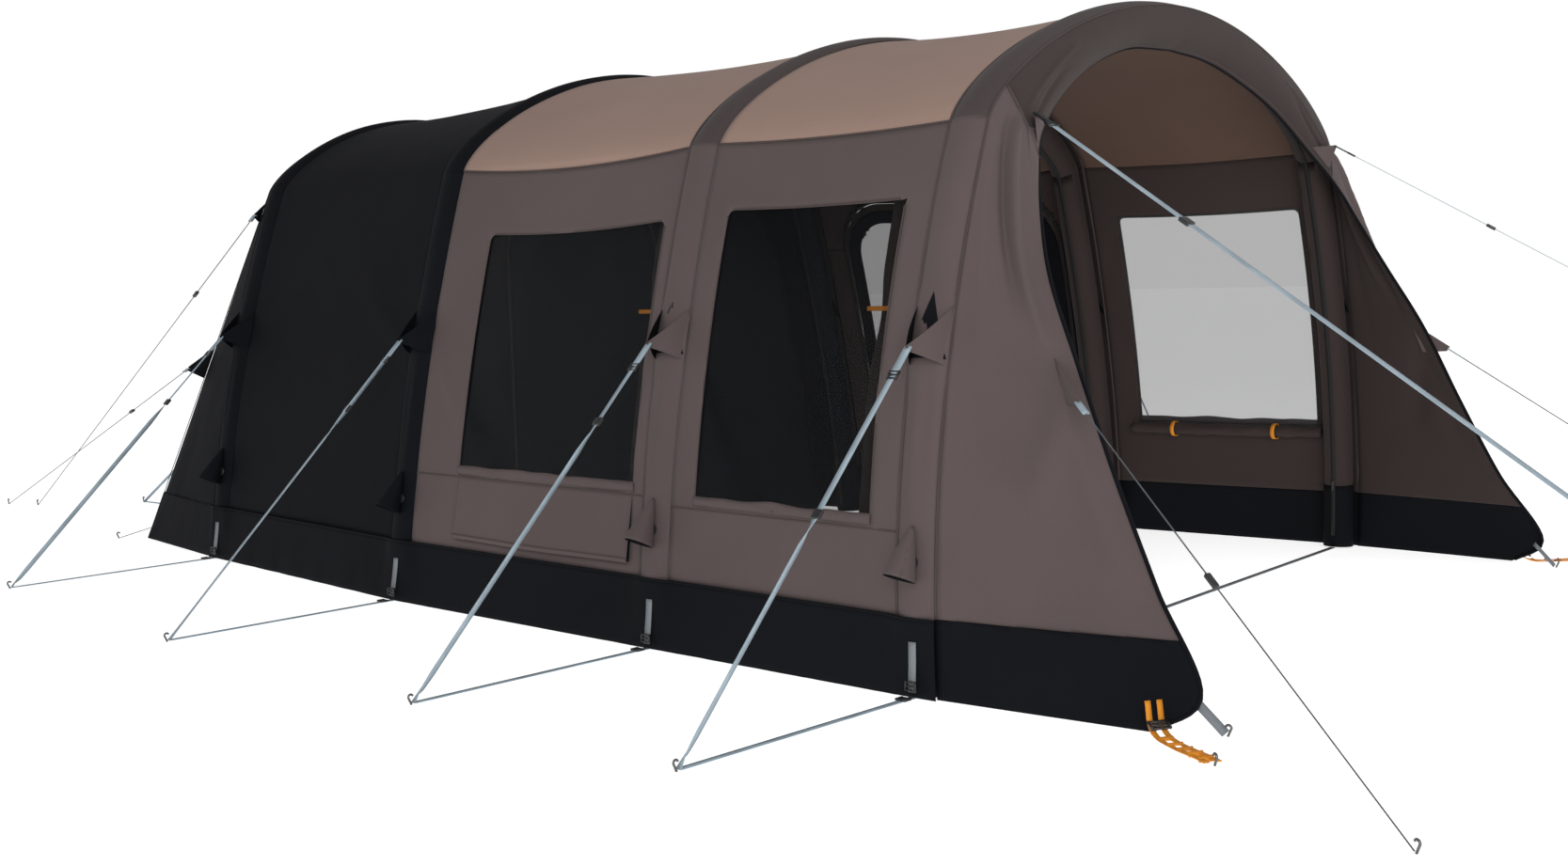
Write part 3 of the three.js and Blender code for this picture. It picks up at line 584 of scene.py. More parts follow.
def bay_ends(bay):
    return ARCH_Y[bay] + BAND_HALF, ARCH_Y[bay + 1] - BAND_HALF


def sunk(bay, y, depth):
    """How far a panel sinks in between its two arches."""
    start, end = bay_ends(bay)
    t = clamp((y - start) / (end - start))
    return 4 * depth * t * (1 - t)


# ---- piece making ----
def tent_core(point):
    """A point inside the tent beside the given one, which cloth faces away from."""
    return Vector((0.0, clamp(point.y, FIRST, ARCH_Y[3]), 0.75))


def face_outwards(bm, core):
    bm.normal_update()
    total = sum(
        face.normal.dot(face.calc_center_median() - core(face.calc_center_median())) * face.calc_area()
        for face in bm.faces)
    if total < 0:
        bmesh.ops.reverse_faces(bm, faces=bm.faces[:])
        bm.normal_update()


def to_object(bm, name, finishes, body, slot=None, node=()):
    """Turns the bmesh into a finished piece that rides on a body."""
    data = bpy.data.meshes.new(name)
    for face in bm.faces:
        face.smooth = True
    bm.to_mesh(data)
    bm.free()
    piece = bpy.data.objects.new(name, data)
    bpy.context.collection.objects.link(piece)
    return dress(piece, finishes, body, slot, node)


def dress(piece, finishes, body, slot=None, node=()):
    for name in finishes:
        piece.data.materials.append(finish(name))
    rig.ride(piece, body)
    if slot:
        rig.slot(piece, slot)
    if node:
        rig.replaces(piece, *([node] if isinstance(node, str) else node))
    return piece


def thicken(piece, thickness, offset=-1.0, two_faced=False):
    wall = piece.modifiers.new("Thickness", "SOLIDIFY")
    wall.thickness = thickness
    wall.offset = offset
    if two_faced:
        wall.material_offset = 1
        wall.material_offset_rim = 0
    return wall


def grid(columns, rows):
    """A flat grid whose points run from 0 to 1 both ways."""
    bm = bmesh.new()
    bmesh.ops.create_grid(bm, x_segments=columns, y_segments=rows, size=0.5)
    bmesh.ops.translate(bm, verts=bm.verts[:], vec=(0.5, 0.5, 0.0))
    return bm


def trim_to(bm, keep, cell):
    """Cuts a flat grid to where keep(a, b) is above 0, with its edge drawn onto the line."""
    step = 1e-4
    for vert in bm.verts:
        a, b = vert.co.x, vert.co.y
        value = keep(a, b)
        if abs(value) < 0.62 * cell:
            slope = Vector((keep(a + step, b) - value, keep(a, b + step) - value)) / step
            if slope.length > 0.2:
                vert.co.x -= slope.x * value / slope.length_squared
                vert.co.y -= slope.y * value / slope.length_squared
    gone = [f for f in bm.faces if keep(*f.calc_center_median().xy) < 0]
    bmesh.ops.delete(bm, geom=gone, context="FACES")


def cloth(name, spans, place, finishes, body=SHELL, slot=None, node=(), cell=None, keep=None,
          relief=None, thickness=None, core=tent_core, planes=(), declare=True):
    """A sheet of cloth: a flat pattern, trimmed, laid onto its place and given its folds."""
    (a0, a1), (b0, b1) = spans
    cell = cell or sizes().cell
    columns = max(2, round(abs(a1 - a0) / cell))
    rows = max(2, round(abs(b1 - b0) / cell))
    bm = grid(columns, rows)
    for vert in bm.verts:
        vert.co = Vector((mix(a0, a1, vert.co.x), mix(b0, b1, vert.co.y), 0.0))
    if keep:
        trim_to(bm, keep, cell)
    weave = bm.loops.layers.uv.new("UVMap")
    for face in bm.faces:
        for loop in face.loops:
            loop[weave].uv = loop.vert.co.xy
    flat = {vert: vert.co.xy for vert in bm.verts}
    for vert, (a, b) in flat.items():
        vert.co = place(a, b)
    bmesh.ops.remove_doubles(bm, verts=bm.verts[:], dist=1e-6)
    face_outwards(bm, core)
    if relief:
        moves = [(vert, vert.normal * relief(*flat[vert])) for vert in bm.verts if vert in flat]
        for vert, move in moves:
            vert.co += move
    for point, normal in planes:
        bmesh.ops.bisect_plane(
            bm, geom=bm.verts[:] + bm.edges[:] + bm.faces[:], plane_co=point, plane_no=normal,
            clear_outer=True)
    size, area = cut_size(bm, weave)
    piece = to_object(bm, name, finishes, body, slot, node)
    thicken(piece, thickness or sizes().cloth, two_faced=len(finishes) > 1)
    if declare:
        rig.sheet(piece, flat=size, held="stretched", area=min(area, size[0] * size[1]))
    return piece


def cut_size(bm, weave):
    """Width and length of the cloth a panel was cut from, and the area of the cut."""
    pattern = [[loop[weave].uv for loop in face.loops] for face in bm.faces]
    across = [spot.x for spots in pattern for spot in spots]
    down = [spot.y for spots in pattern for spot in spots]
    flat = sum(
        abs(sum(p.cross(q) for p, q in zip(spots, spots[1:] + spots[:1]))) / 2 for spots in pattern)
    area = sum(face.calc_area() for face in bm.faces)
    grow = math.sqrt(area / flat)
    return ((max(across) - min(across)) * grow, (max(down) - min(down)) * grow), area


def waves(seed, height=None, size=0.55):
    """Soft uneven waves in a panel."""
    height = height or sizes().wrinkle

    def relief(a, b):
        at = Vector((a / size, b / size, seed * 7.3))
        finer = Vector((a / size * 3.1, b / size * 2.3, seed * 3.7))
        return height * (noise.noise(at) + 0.4 * noise.noise(finer))
    return relief


def fold(start, end, width, height):
    """One straight fold that fades out towards both ends."""
    line = Vector(end) - Vector(start)

    def relief(a, b):
        offset = Vector((a, b)) - Vector(start)
        t = clamp(offset.dot(line) / line.length_squared)
        away = (offset - line * t).length
        fade = math.sin(math.pi * clamp(0.12 + t * 0.88)) ** 0.7
        return height * math.exp(-(away / width) ** 2) * fade
    return relief


def together(*reliefs):
    return lambda a, b: sum(relief(a, b) for relief in reliefs)


def rectangle(y0, y1, z0, z1, radius=0.0, grow=0.0):
    """Signed distance to a rectangle with round top corners: below 0 inside it."""
    y0, y1, z0, z1 = y0 - grow, y1 + grow, z0 - grow, z1 + grow
    radius = max(radius + grow, 0.0)

    def distance(a, b):
        corner = radius if b > z1 - radius else 0.0
        out_a = max(y0 + corner - a, a - y1 + corner)
        out_b = max(z0 - b, b - z1 + corner)
        if out_a > 0 and out_b > 0 and corner:
            return math.hypot(out_a, out_b) - corner
        return max(out_a - corner, out_b - corner if corner else out_b)
    return distance


def ribbon(name, points, normals, width, thickness, material, body=SHELL, slot=None, node=(),
           twist=None):
    """A flat strap along points, its face turned towards the normals."""
    count = len(points) - 1
    bm = grid(count, 1)
    weave = bm.loops.layers.uv.new("UVMap")
    lengths = [0.0]
    for near, far in zip(points, points[1:]):
        lengths.append(lengths[-1] + (far - near).length)
    for face in bm.faces:
        for loop in face.loops:
            step = round(loop.vert.co.x * count)
            loop[weave].uv = (lengths[step], loop.vert.co.y * width)
    for vert in bm.verts:
        step = round(vert.co.x * count)
        along = points[min(step + 1, count)] - points[max(step - 1, 0)]
        across = along.cross(normals[step]).normalized()
        if twist:
            turn = Matrix.Rotation(math.radians(twist(lengths[step] / lengths[-1])), 3, along)
            across = turn @ across
        vert.co = points[step] + across * (vert.co.y - 0.5) * width
    piece = to_object(bm, name, [material], body, slot, node)
    thicken(piece, thickness, offset=0.0)
    return piece


def tube(name, points, radius, material, body=SHELL, slot=None, node=(), sides=12, closed_ends=True,
         profile=None):
    """A round tube along points; profile gives its radius and outline for each step and angle."""
    count = len(points) - 1
    bm = grid(count, sides)
    frames = []
    side = None
    for step, point in enumerate(points):
        along = (points[min(step + 1, count)] - points[max(step - 1, 0)]).normalized()
        if side is None:
            side = along.orthogonal().normalized()
        side = (side - along * side.dot(along)).normalized()
        frames.append((point, side.copy(), along.cross(side)))
    weave = bm.loops.layers.uv.new("UVMap")
    for face in bm.faces:
        for loop in face.loops:
            loop[weave].uv = (loop.vert.co.x * count * 0.05, loop.vert.co.y * math.tau * radius)
    for vert in bm.verts:
        step = round(vert.co.x * count)
        angle = vert.co.y * math.tau
        point, u, v = frames[step]
        reach = profile(step / count, angle) if profile else radius
        vert.co = point + (u * math.cos(angle) + v * math.sin(angle)) * reach
    bmesh.ops.remove_doubles(bm, verts=bm.verts[:], dist=1e-7)
    if closed_ends:
        bmesh.ops.holes_fill(bm, edges=[e for e in bm.edges if e.is_boundary])
    bmesh.ops.recalc_face_normals(bm, faces=bm.faces[:])
    return to_object(bm, name, [material], body, slot, node)


def line(start, end, steps):
    return [Vector(start).lerp(Vector(end), i / steps) for i in range(steps + 1)]


def catmull(points, t):
    """Point at t, from 0 to 1, on a centripetal curve through the points."""
    count = len(points) - 1
    scaled = clamp(t) * count
    index = min(int(scaled), count - 1)
    local = scaled - index
    before = points[index - 1] if index else points[0] * 2 - points[1]
    after = points[index + 2] if index + 2 <= count else points[count] * 2 - points[count - 1]
    p = [before, points[index], points[index + 1], after]
    gaps = [max((q - r).length ** 0.5, 1e-4) for q, r in zip(p[1:], p)]
    slopes = []
    for i in (0, 1):
        first = (p[i + 1] - p[i]) / gaps[i]
        both = (p[i + 2] - p[i]) / (gaps[i] + gaps[i + 1])
        last = (p[i + 2] - p[i + 1]) / gaps[i + 1]
        slopes.append((first - both + last) * gaps[1])
    s, e = p[1], p[2]
    cubic = (s - e) * 2 + slopes[0] + slopes[1]
    square = (e - s) * 3 - slopes[0] * 2 - slopes[1]
    return s + slopes[0] * local + square * local ** 2 + cubic * local ** 3


class EvenCurve:
    """A curve whose points are asked for by the share of its length."""

    def __init__(self, points, steps=200):
        self.points = [catmull(points, i / steps) for i in range(steps + 1)]
        self.lengths = [0.0]
        for near, far in zip(self.points, self.points[1:]):
            self.lengths.append(self.lengths[-1] + (far - near).length)

    def at(self, share):
        wanted = clamp(share) * self.lengths[-1]
        index = 0
        while index < len(self.lengths) - 2 and self.lengths[index + 1] < wanted:
            index += 1
        gap = self.lengths[index + 1] - self.lengths[index]
        return self.points[index].lerp(self.points[index + 1], (wanted - self.lengths[index]) / gap)


# ---- surfaces of this tent; A is metres along the outline from the ridge, B across it ----
GIRTH = 3.2                # outline from the ridge to one foot
CANOPY_DEPTH = 0.7         # pattern of the canopy, from the first arch to its free edge
REAR_SLOPE = 1.95          # pattern of the rear slope, from the last arch to the ground
LAP = 0.004                # how far the walls reach down behind the mud flaps
ABOVE_FLAP = 1 - wall_share(FLAP_HEIGHT - LAP)
EAVE_DIP = (0.010, 0.030, 0.010)
REAR_START = ARCH_Y[3] + BAND_HALF + SEAM
CANOPY_BACK = ARCH_Y[0] - BAND_HALF - SEAM


def dip(bay, y):
    """How far the eave seam hangs lower in between two arches."""
    return sunk(bay, y, EAVE_DIP[bay])


def side_place(bay, side, lift=0.0):
    """Lays a pattern of Y and Z onto a side wall."""
    def place(y, z):
        lower = dip(bay, y) * smooth_step(z, 0.5, EAVE_HEIGHT)
        return wall_point(side, y, z - lower, PANEL_INSET + sunk(bay, y, sizes().slack) - lift)
    return place


def roof_place(bay, lift=0.0):
    """Lays a pattern of girth and Y onto a roof panel, or a whole bay."""
    def place(a, y):
        position = a / GIRTH
        near_eave = smooth_step(1 - abs(position), 0.15, 0.5) * smooth_step(-abs(position), -0.5, -0.2)
        eave = smooth_step(abs(position), 0.0, 0.5) * smooth_step(1 - abs(position), 0.15, 0.4999)
        position *= 1 + 2 * wall_share(dip(bay, y)) * eave
        depth = mix(sizes().slack, sizes().roof_sag, near_eave)
        return outline(y, position, PANEL_INSET + sunk(bay, y, depth) - lift)
    return place


def band_point(arch, across, position, lift=0.0):
    """Point of the sleeve over an arch, across from -1 (front edge) to 1 (back edge)."""
    point = outline(ARCH_Y[arch], position, PANEL_INSET * across * across - lift)
    point.y += BAND_HALF * across
    return point


def rear_point(position, share, lift=0.0):
    """Point of the rear slope, from the last arch (share 0) to the ground (share 1)."""
    top = outline(ARCH_Y[3], position, PANEL_INSET - lift)
    top.y = REAR_START
    width = clamp(position * 2, -1, 1) * (REAR_HALF_WIDTH + lift)
    return top.lerp(Vector((width, ARCH_Y[3] + REAR_LENGTH + lift, 0.0)), share)


EDGE_CURVE = EvenCurve([Vector((x, FIRST + y, z)) for x, y, z in CANOPY_EDGE])
FIRST_SECTION = (FOOT[0], EAVE[0], BELLY[0], RIDGE[0])
HALF_CURVE = EvenCurve([
    Vector((point.x, share, point.y))
    for share in (i / 30 for i in range(31))
    for point in [half_outline(FIRST_SECTION, share)]])


def canopy_point(column, row, lift=0.0):
    """Point of the canopy: column from -1 (left ground) to 1 (right), row from arch to edge."""
    side = -1 if column < 0 else 1
    up = 1 - abs(column)
    share = HALF_CURVE.at(up).y
    back = outline(CANOPY_BACK, side * (1 - share), PANEL_INSET - lift)
    front = EDGE_CURVE.at(up)
    front.x *= side
    centre = outline(ARCH_Y[0], side * (1 - share), BEAM_INSET)
    middle = back.lerp(front, 0.5)
    outward = middle - centre
    outward.x *= 0.4
    outward.normalize()
    hood = smooth_step(up, HOOD_SHARE - 0.15, HOOD_SHARE + 0.15)
    control = middle + outward * 0.072 * hood
    inward = centre - middle
    if hood < 1:
        inward = inward.lerp(Vector((-side * 0.1, 0.0, 0.0)), 1 - hood)
    inward = inward.normalized() * -lift
    return bezier([back, control + inward, front + inward], row)


def side_guy(arch, side):
    """Tip of an arch's tab, its peg, and the end of the strap at the foot."""
    tip = outline(ARCH_Y[arch], 1 - wall_share(GUY_HEIGHT)).x + TAB_REACH
    return [
        Vector((side * tip, ARCH_Y[arch], GUY_HEIGHT)),
        Vector((side * (FOOT[arch] + PEG_DISTANCE), ARCH_Y[arch] + PEG_OFFSET, STRAP_HEIGHT)),
        Vector((side * (FOOT[arch] + STRAP_CLEARANCE), ARCH_Y[arch], STRAP_HEIGHT))]


def free_guy(name, side):
    return [Vector((side * x, FIRST + y, z)) for x, y, z in FREE_GUYS[name]]


def canopy_core(point):
    return Vector((0.0, ARCH_Y[0], 0.9)) if abs(point.x) > 0.9 else Vector((0.0, ARCH_Y[0], 1.5))


def rear_core(point):
    return Vector((0.0, ARCH_Y[3] - 0.3, 0.0))


class Builder:
    """Shared by the operators."""

    bl_options = {"REGISTER", "UNDO"}

    def execute(self, context):
        self.build()
        return {"FINISHED"}


# ---- stage ----
CAMERA_PLACE = (-5.468, -2.704, 1.2136)
CAMERA_TURN = (50.16, 5.3, -1.5)     # towards +X, down, and dipping to the right, in degrees
LENS = 38.72


class TENT_OT_stage(Builder, bpy.types.Operator):
    """Adds the camera, the soft lights, the white surroundings and the pale floor."""

    bl_idname = "tent.stage"
    bl_label = "Stage"

    def build(self):
        turn, down, roll = (math.radians(angle) for angle in CAMERA_TURN)
        ahead = Vector((
            math.sin(turn) * math.cos(down), math.cos(turn) * math.cos(down), -math.sin(down)))
        right = Vector((math.cos(turn), -math.sin(turn), 0.0))
        level_up = right.cross(ahead)
        right = right * math.cos(roll) + level_up * math.sin(roll)
        up = right.cross(ahead)
        data = bpy.data.cameras.new("camera")
        data.lens = LENS
        data.sensor_width = 36.0
        data.clip_end = 400.0
        camera = bpy.data.objects.new("camera", data)
        x, y, z = CAMERA_PLACE
        camera.matrix_world = (
            Matrix.Translation((x, FIRST + y, z))
            @ Matrix((right, up, -ahead)).transposed().to_4x4())
        bpy.context.collection.objects.link(camera)
        bpy.context.scene.camera = camera
        bpy.context.scene.view_settings.view_transform = "Standard"
        self.light("key", (-7.5, -7.0, 3.4), (0.0, 0.0, 1.0), 5.0, 430.0)
        self.light("overhead", (1.5, -3.0, 8.5), (0.0, 0.0, 0.0), 7.0, 120.0)
        self.light("front", (4.5, -9.0, 3.0), (0.0, -2.0, 1.0), 4.0, 90.0)
        world = bpy.data.worlds.new("studio")
        world.use_nodes = True
        tree = world.node_tree
        direction = tree.nodes.new("ShaderNodeTexCoord")
        height = tree.nodes.new("ShaderNodeSeparateXYZ")
        ramp = tree.nodes.new("ShaderNodeValToRGB")
        ramp.color_ramp.elements[0].position = 0.30
        ramp.color_ramp.elements[0].color = (1.0, 1.0, 1.0, 1.0)
        ramp.color_ramp.elements[1].position = 0.55
        ramp.color_ramp.elements[1].color = (0.26, 0.26, 0.27, 1.0)
        tree.links.new(direction.outputs["Generated"], height.inputs[0])
        tree.links.new(height.outputs["Z"], ramp.inputs["Fac"])
        tree.links.new(ramp.outputs["Color"], tree.nodes["Background"].inputs["Color"])
        bpy.context.scene.world = world
        bm = grid(8, 8)
        bmesh.ops.translate(bm, verts=bm.verts[:], vec=(-0.5, -0.5, 0.0))
        bmesh.ops.scale(bm, verts=bm.verts[:], vec=(160.0, 160.0, 1.0))
        bmesh.ops.translate(bm, verts=bm.verts[:], vec=(0.0, 0.0, -0.0015))
        data = bpy.data.meshes.new("floor")
        bm.to_mesh(data)
        bm.free()
        floor = bpy.data.objects.new("floor", data)
        bpy.context.collection.objects.link(floor)
        made = Nodes("pale floor")
        made.set(
            Base_Color=(0.80, 0.80, 0.80, 1.0), Roughness=0.9, Specular_IOR_Level=0.1,
            Emission_Color=(1.0, 1.0, 1.0, 1.0), Emission_Strength=0.74)
        data.materials.append(made.material)
        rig.stage(floor)

    def light(self, name, place, target, size, power):
        data = bpy.data.lights.new(name, "AREA")
        data.size = size
        data.energy = power
        lamp = bpy.data.objects.new(name, data)
        lamp.location = place
        lamp.rotation_euler = (Vector(target) - Vector(place)).to_track_quat("-Z", "Y").to_euler()
        bpy.context.collection.objects.link(lamp)


# ---- guys ----
# where along each left guy the webbing turns on edge, and how far it is turned
SIDE_TWIST = ((0.46, 72.0), (0.27, 72.0), (0.30, 12.0), (0.31, 70.0))
FIRST_TWIST = (6.0, 10.0, 62.0, 10.0)


def guy_frames(points, pulled_steps=28, ground_steps=20):
    """Evenly spaced points along a guy, each with the direction its flat side faces."""
    route = line(points[0], points[1], pulled_steps)
    along = (points[1] - points[0]).normalized()
    faces = [(Vector((0, 0, 1)) - along * along.z).normalized()] * len(route)
    if len(points) > 2:
        back = line(points[1], points[2], ground_steps)[1:]
        route += back
        faces += [Vector((0, 0, -1))] * len(back)
    return route, faces


def length_of(points):
    return sum((far - near).length for near, far in zip(points, points[1:]))


class TENT_OT_guys(Builder, bpy.types.Operator):
    """Adds the webbing guys, the guy ropes and the strap between the first feet."""

    bl_idname = "tent.guys"
    bl_label = "Guys"

    def build(self):
        for side, name in SIDES:
            for arch in ARCHES:
                self.webbing(f"guy_{name}_{arch + 1}", side_guy(arch, side), "object",
                             self.side_twist(arch))
            self.webbing(f"guy_hood_{name}", free_guy("guy_hood", side), "fitting", None)
            self.webbing(
                f"guy_rear_middle_{name}", free_guy("guy_rear_middle", side), "object", None)
            for rope in ROPES:
                self.rope(f"{rope}_{name}", free_guy(rope, side))
        low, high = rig.box("threshold_strap")
        middle = (low + high) / 2
        ends = [Vector((low.x, middle.y, middle.z)), Vector((high.x, middle.y, middle.z))]
        self.webbing("threshold_strap", ends, "object", None, "grey_webbing")

    def side_twist(self, arch):
        turn_at, after = SIDE_TWIST[arch]
        before = FIRST_TWIST[arch]
        route = side_guy(arch, 1)
        pulled = (route[1] - route[0]).length / length_of(route)

        def twist(share):
            t = share / pulled
            if t >= 1:
                return 0.0
            turned = mix(before, after, smooth_step(t, turn_at - 0.05, turn_at + 0.05))
            return turned * (1 - smooth_step(t, 0.95, 1.0))
        return twist

    def webbing(self, node, points, far_end, twist, material="webbing"):
        route, faces = guy_frames(points)
        piece = ribbon(
            f"{node}_webbing", route, faces, sizes().webbing, sizes().webbing_thickness, material,
            slot="webbing", node=node, twist=twist)
        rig.cord(
            piece, exit=points[0], length=length_of(points), diameter=sizes().webbing,
            far_end=far_end, stiffness="limp", lay="taut", path=route,
            with_pieces=self.on_it(node, points))

    def on_it(self, node, points):
        """The peg that holds the far end of a guy that doesn't come back to the tent."""
        if len(points) > 2 or node == "threshold_strap":
            return []
        return [peg(f"{node}_peg", points[1], points[1] - points[0])]

    def rope(self, node, points):
        curve = bpy.data.curves.new(f"{node}_rope", "CURVE")
        curve.dimensions = "3D"
        curve.bevel_depth = sizes().rope
        curve.bevel_resolution = 3
        curve.use_fill_caps = True
        spline = curve.splines.new("POLY")
        route = line(points[0], points[1], 24)
        spline.points.add(len(route) - 1)
        for point, place in zip(spline.points, route):
            point.co = (*place, 1.0)
        piece = bpy.data.objects.new(f"{node}_rope", curve)
        bpy.context.collection.objects.link(piece)
        dress(piece, ["rope"], SHELL, "rope", node)
        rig.cord(
            piece, exit=points[0], length=length_of(points), diameter=2 * sizes().rope,
            far_end="fitting", stiffness="limp", lay="taut",
            with_pieces=[peg(f"{node}_peg", points[1], points[1] - points[0])])


PEG_HEIGHT = 0.022
PEG_HOOK = 0.008


def peg(name, place, pull):
    """The part of a peg above the ground: a leaning shank with a hook that holds the guy."""
    away = Vector((pull.x, pull.y, 0.0)).normalized()
    foot = Vector((place.x, place.y, 0.0)) + away * 0.006
    top = foot + away * 0.010 + Vector((0, 0, PEG_HEIGHT))
    crook = [
        top + away * PEG_HOOK * (math.cos(angle) - 1) + Vector((0, 0, PEG_HOOK * math.sin(angle)))
        for angle in (math.pi * i / 8 for i in range(1, 8))]
    return tube(name, [foot, top] + crook, sizes().peg, "steel", sides=10)


# ---- arches ----
class TENT_OT_beams(Builder, bpy.types.Operator):
    """Adds the inflated beams in their zipped inner sleeves, with valves and black feet."""

    bl_idname = "tent.beams"
    bl_label = "Air Beams"

    def build(self):
        for arch in ARCHES:
            y = ARCH_Y[arch]
            path = [outline(y, -1 + i / 60, BEAM_INSET) for i in range(121)]
            # The front beams take the darker inner taupe: painted shade inside the tent.
            inside = "taupe_painted_shade" if arch < 2 else "navy"

            def wrinkled(t, angle, arch=arch):
                at = Vector((t * 60, math.cos(angle) * 1.5 + arch, math.sin(angle) * 1.5))
                return BEAM_RADIUS - 0.0015 + 0.0012 * noise.noise(at)
            tube(f"air_beam_{arch + 1}_tube", path, BEAM_RADIUS, inside, slot="beam_tube",
                 node=f"air_beam_{arch + 1}", sides=28, profile=wrinkled)
            zip_line = [outline(y, -0.985 + 1.97 * i / 120, BEAM_INSET + BEAM_RADIUS + 0.0012)
                        for i in range(121)]
            faces = [(outline(y, p, BEAM_INSET) - outline(y, p, 0.0)).normalized()
                     for p in (-0.985 + 1.97 * i / 120 for i in range(121))]
            ribbon(f"beam_zip_{arch + 1}", zip_line, faces, 0.016, 0.0022, "black_webbing")
            for side, name in SIDES:
                self.foot(arch, side, name)
                self.slider(arch, side, name)
            self.valve(arch)

    def foot(self, arch, side, name):
        y = ARCH_Y[arch]
        path = [outline(y, side * (1 - wall_share(z)), BEAM_INSET)
                for z in (0.002 + 0.268 * i / 10 for i in range(11))]
        tube(f"beam_foot_{name}_{arch + 1}", path, BEAM_RADIUS + 0.0016, "black", sides=28,
             profile=lambda t, angle: BEAM_RADIUS + 0.0016 + 0.0008 * math.sin(9 * angle) * (1 - t))

    def slider(self, arch, side, name):
        y = ARCH_Y[arch]
        centre = outline(y, side * (1 - wall_share(0.30)), BEAM_INSET + BEAM_RADIUS + 0.005)
        pull = [centre + Vector((-side * 0.003, 0.0, -0.012 * i)) for i in range(5)]
        ribbon(f"zip_pull_{name}_{arch + 1}", pull, [Vector((-side, 0.0, 0.0))] * 5, 0.008, 0.003,
               "plastic")

    def valve(self, arch):
        base = outline(ARCH_Y[arch], wall_share(VALVE_HEIGHT) - 1)
        out = outward_at(arch, -1, VALVE_HEIGHT)
        tube(f"valve_boss_{arch + 1}", line(base - out * 0.03, base + out * 0.0055, 4), 0.019,
             "plastic", sides=24, profile=lambda t, angle: 0.019 if t < 0.9 else 0.0175)
        cap = frame["nodes"][f"valve_cap_{arch + 1}"]
        for slot in cap.material_slots:
            slot.material = finish("plastic")


def outward_at(arch, side, z):
    """Direction straight out of the side of an arch."""
    position = side * (1 - wall_share(z))
    return (outline(ARCH_Y[arch], position, 0.0) - outline(ARCH_Y[arch], position, 0.05)).normalized()


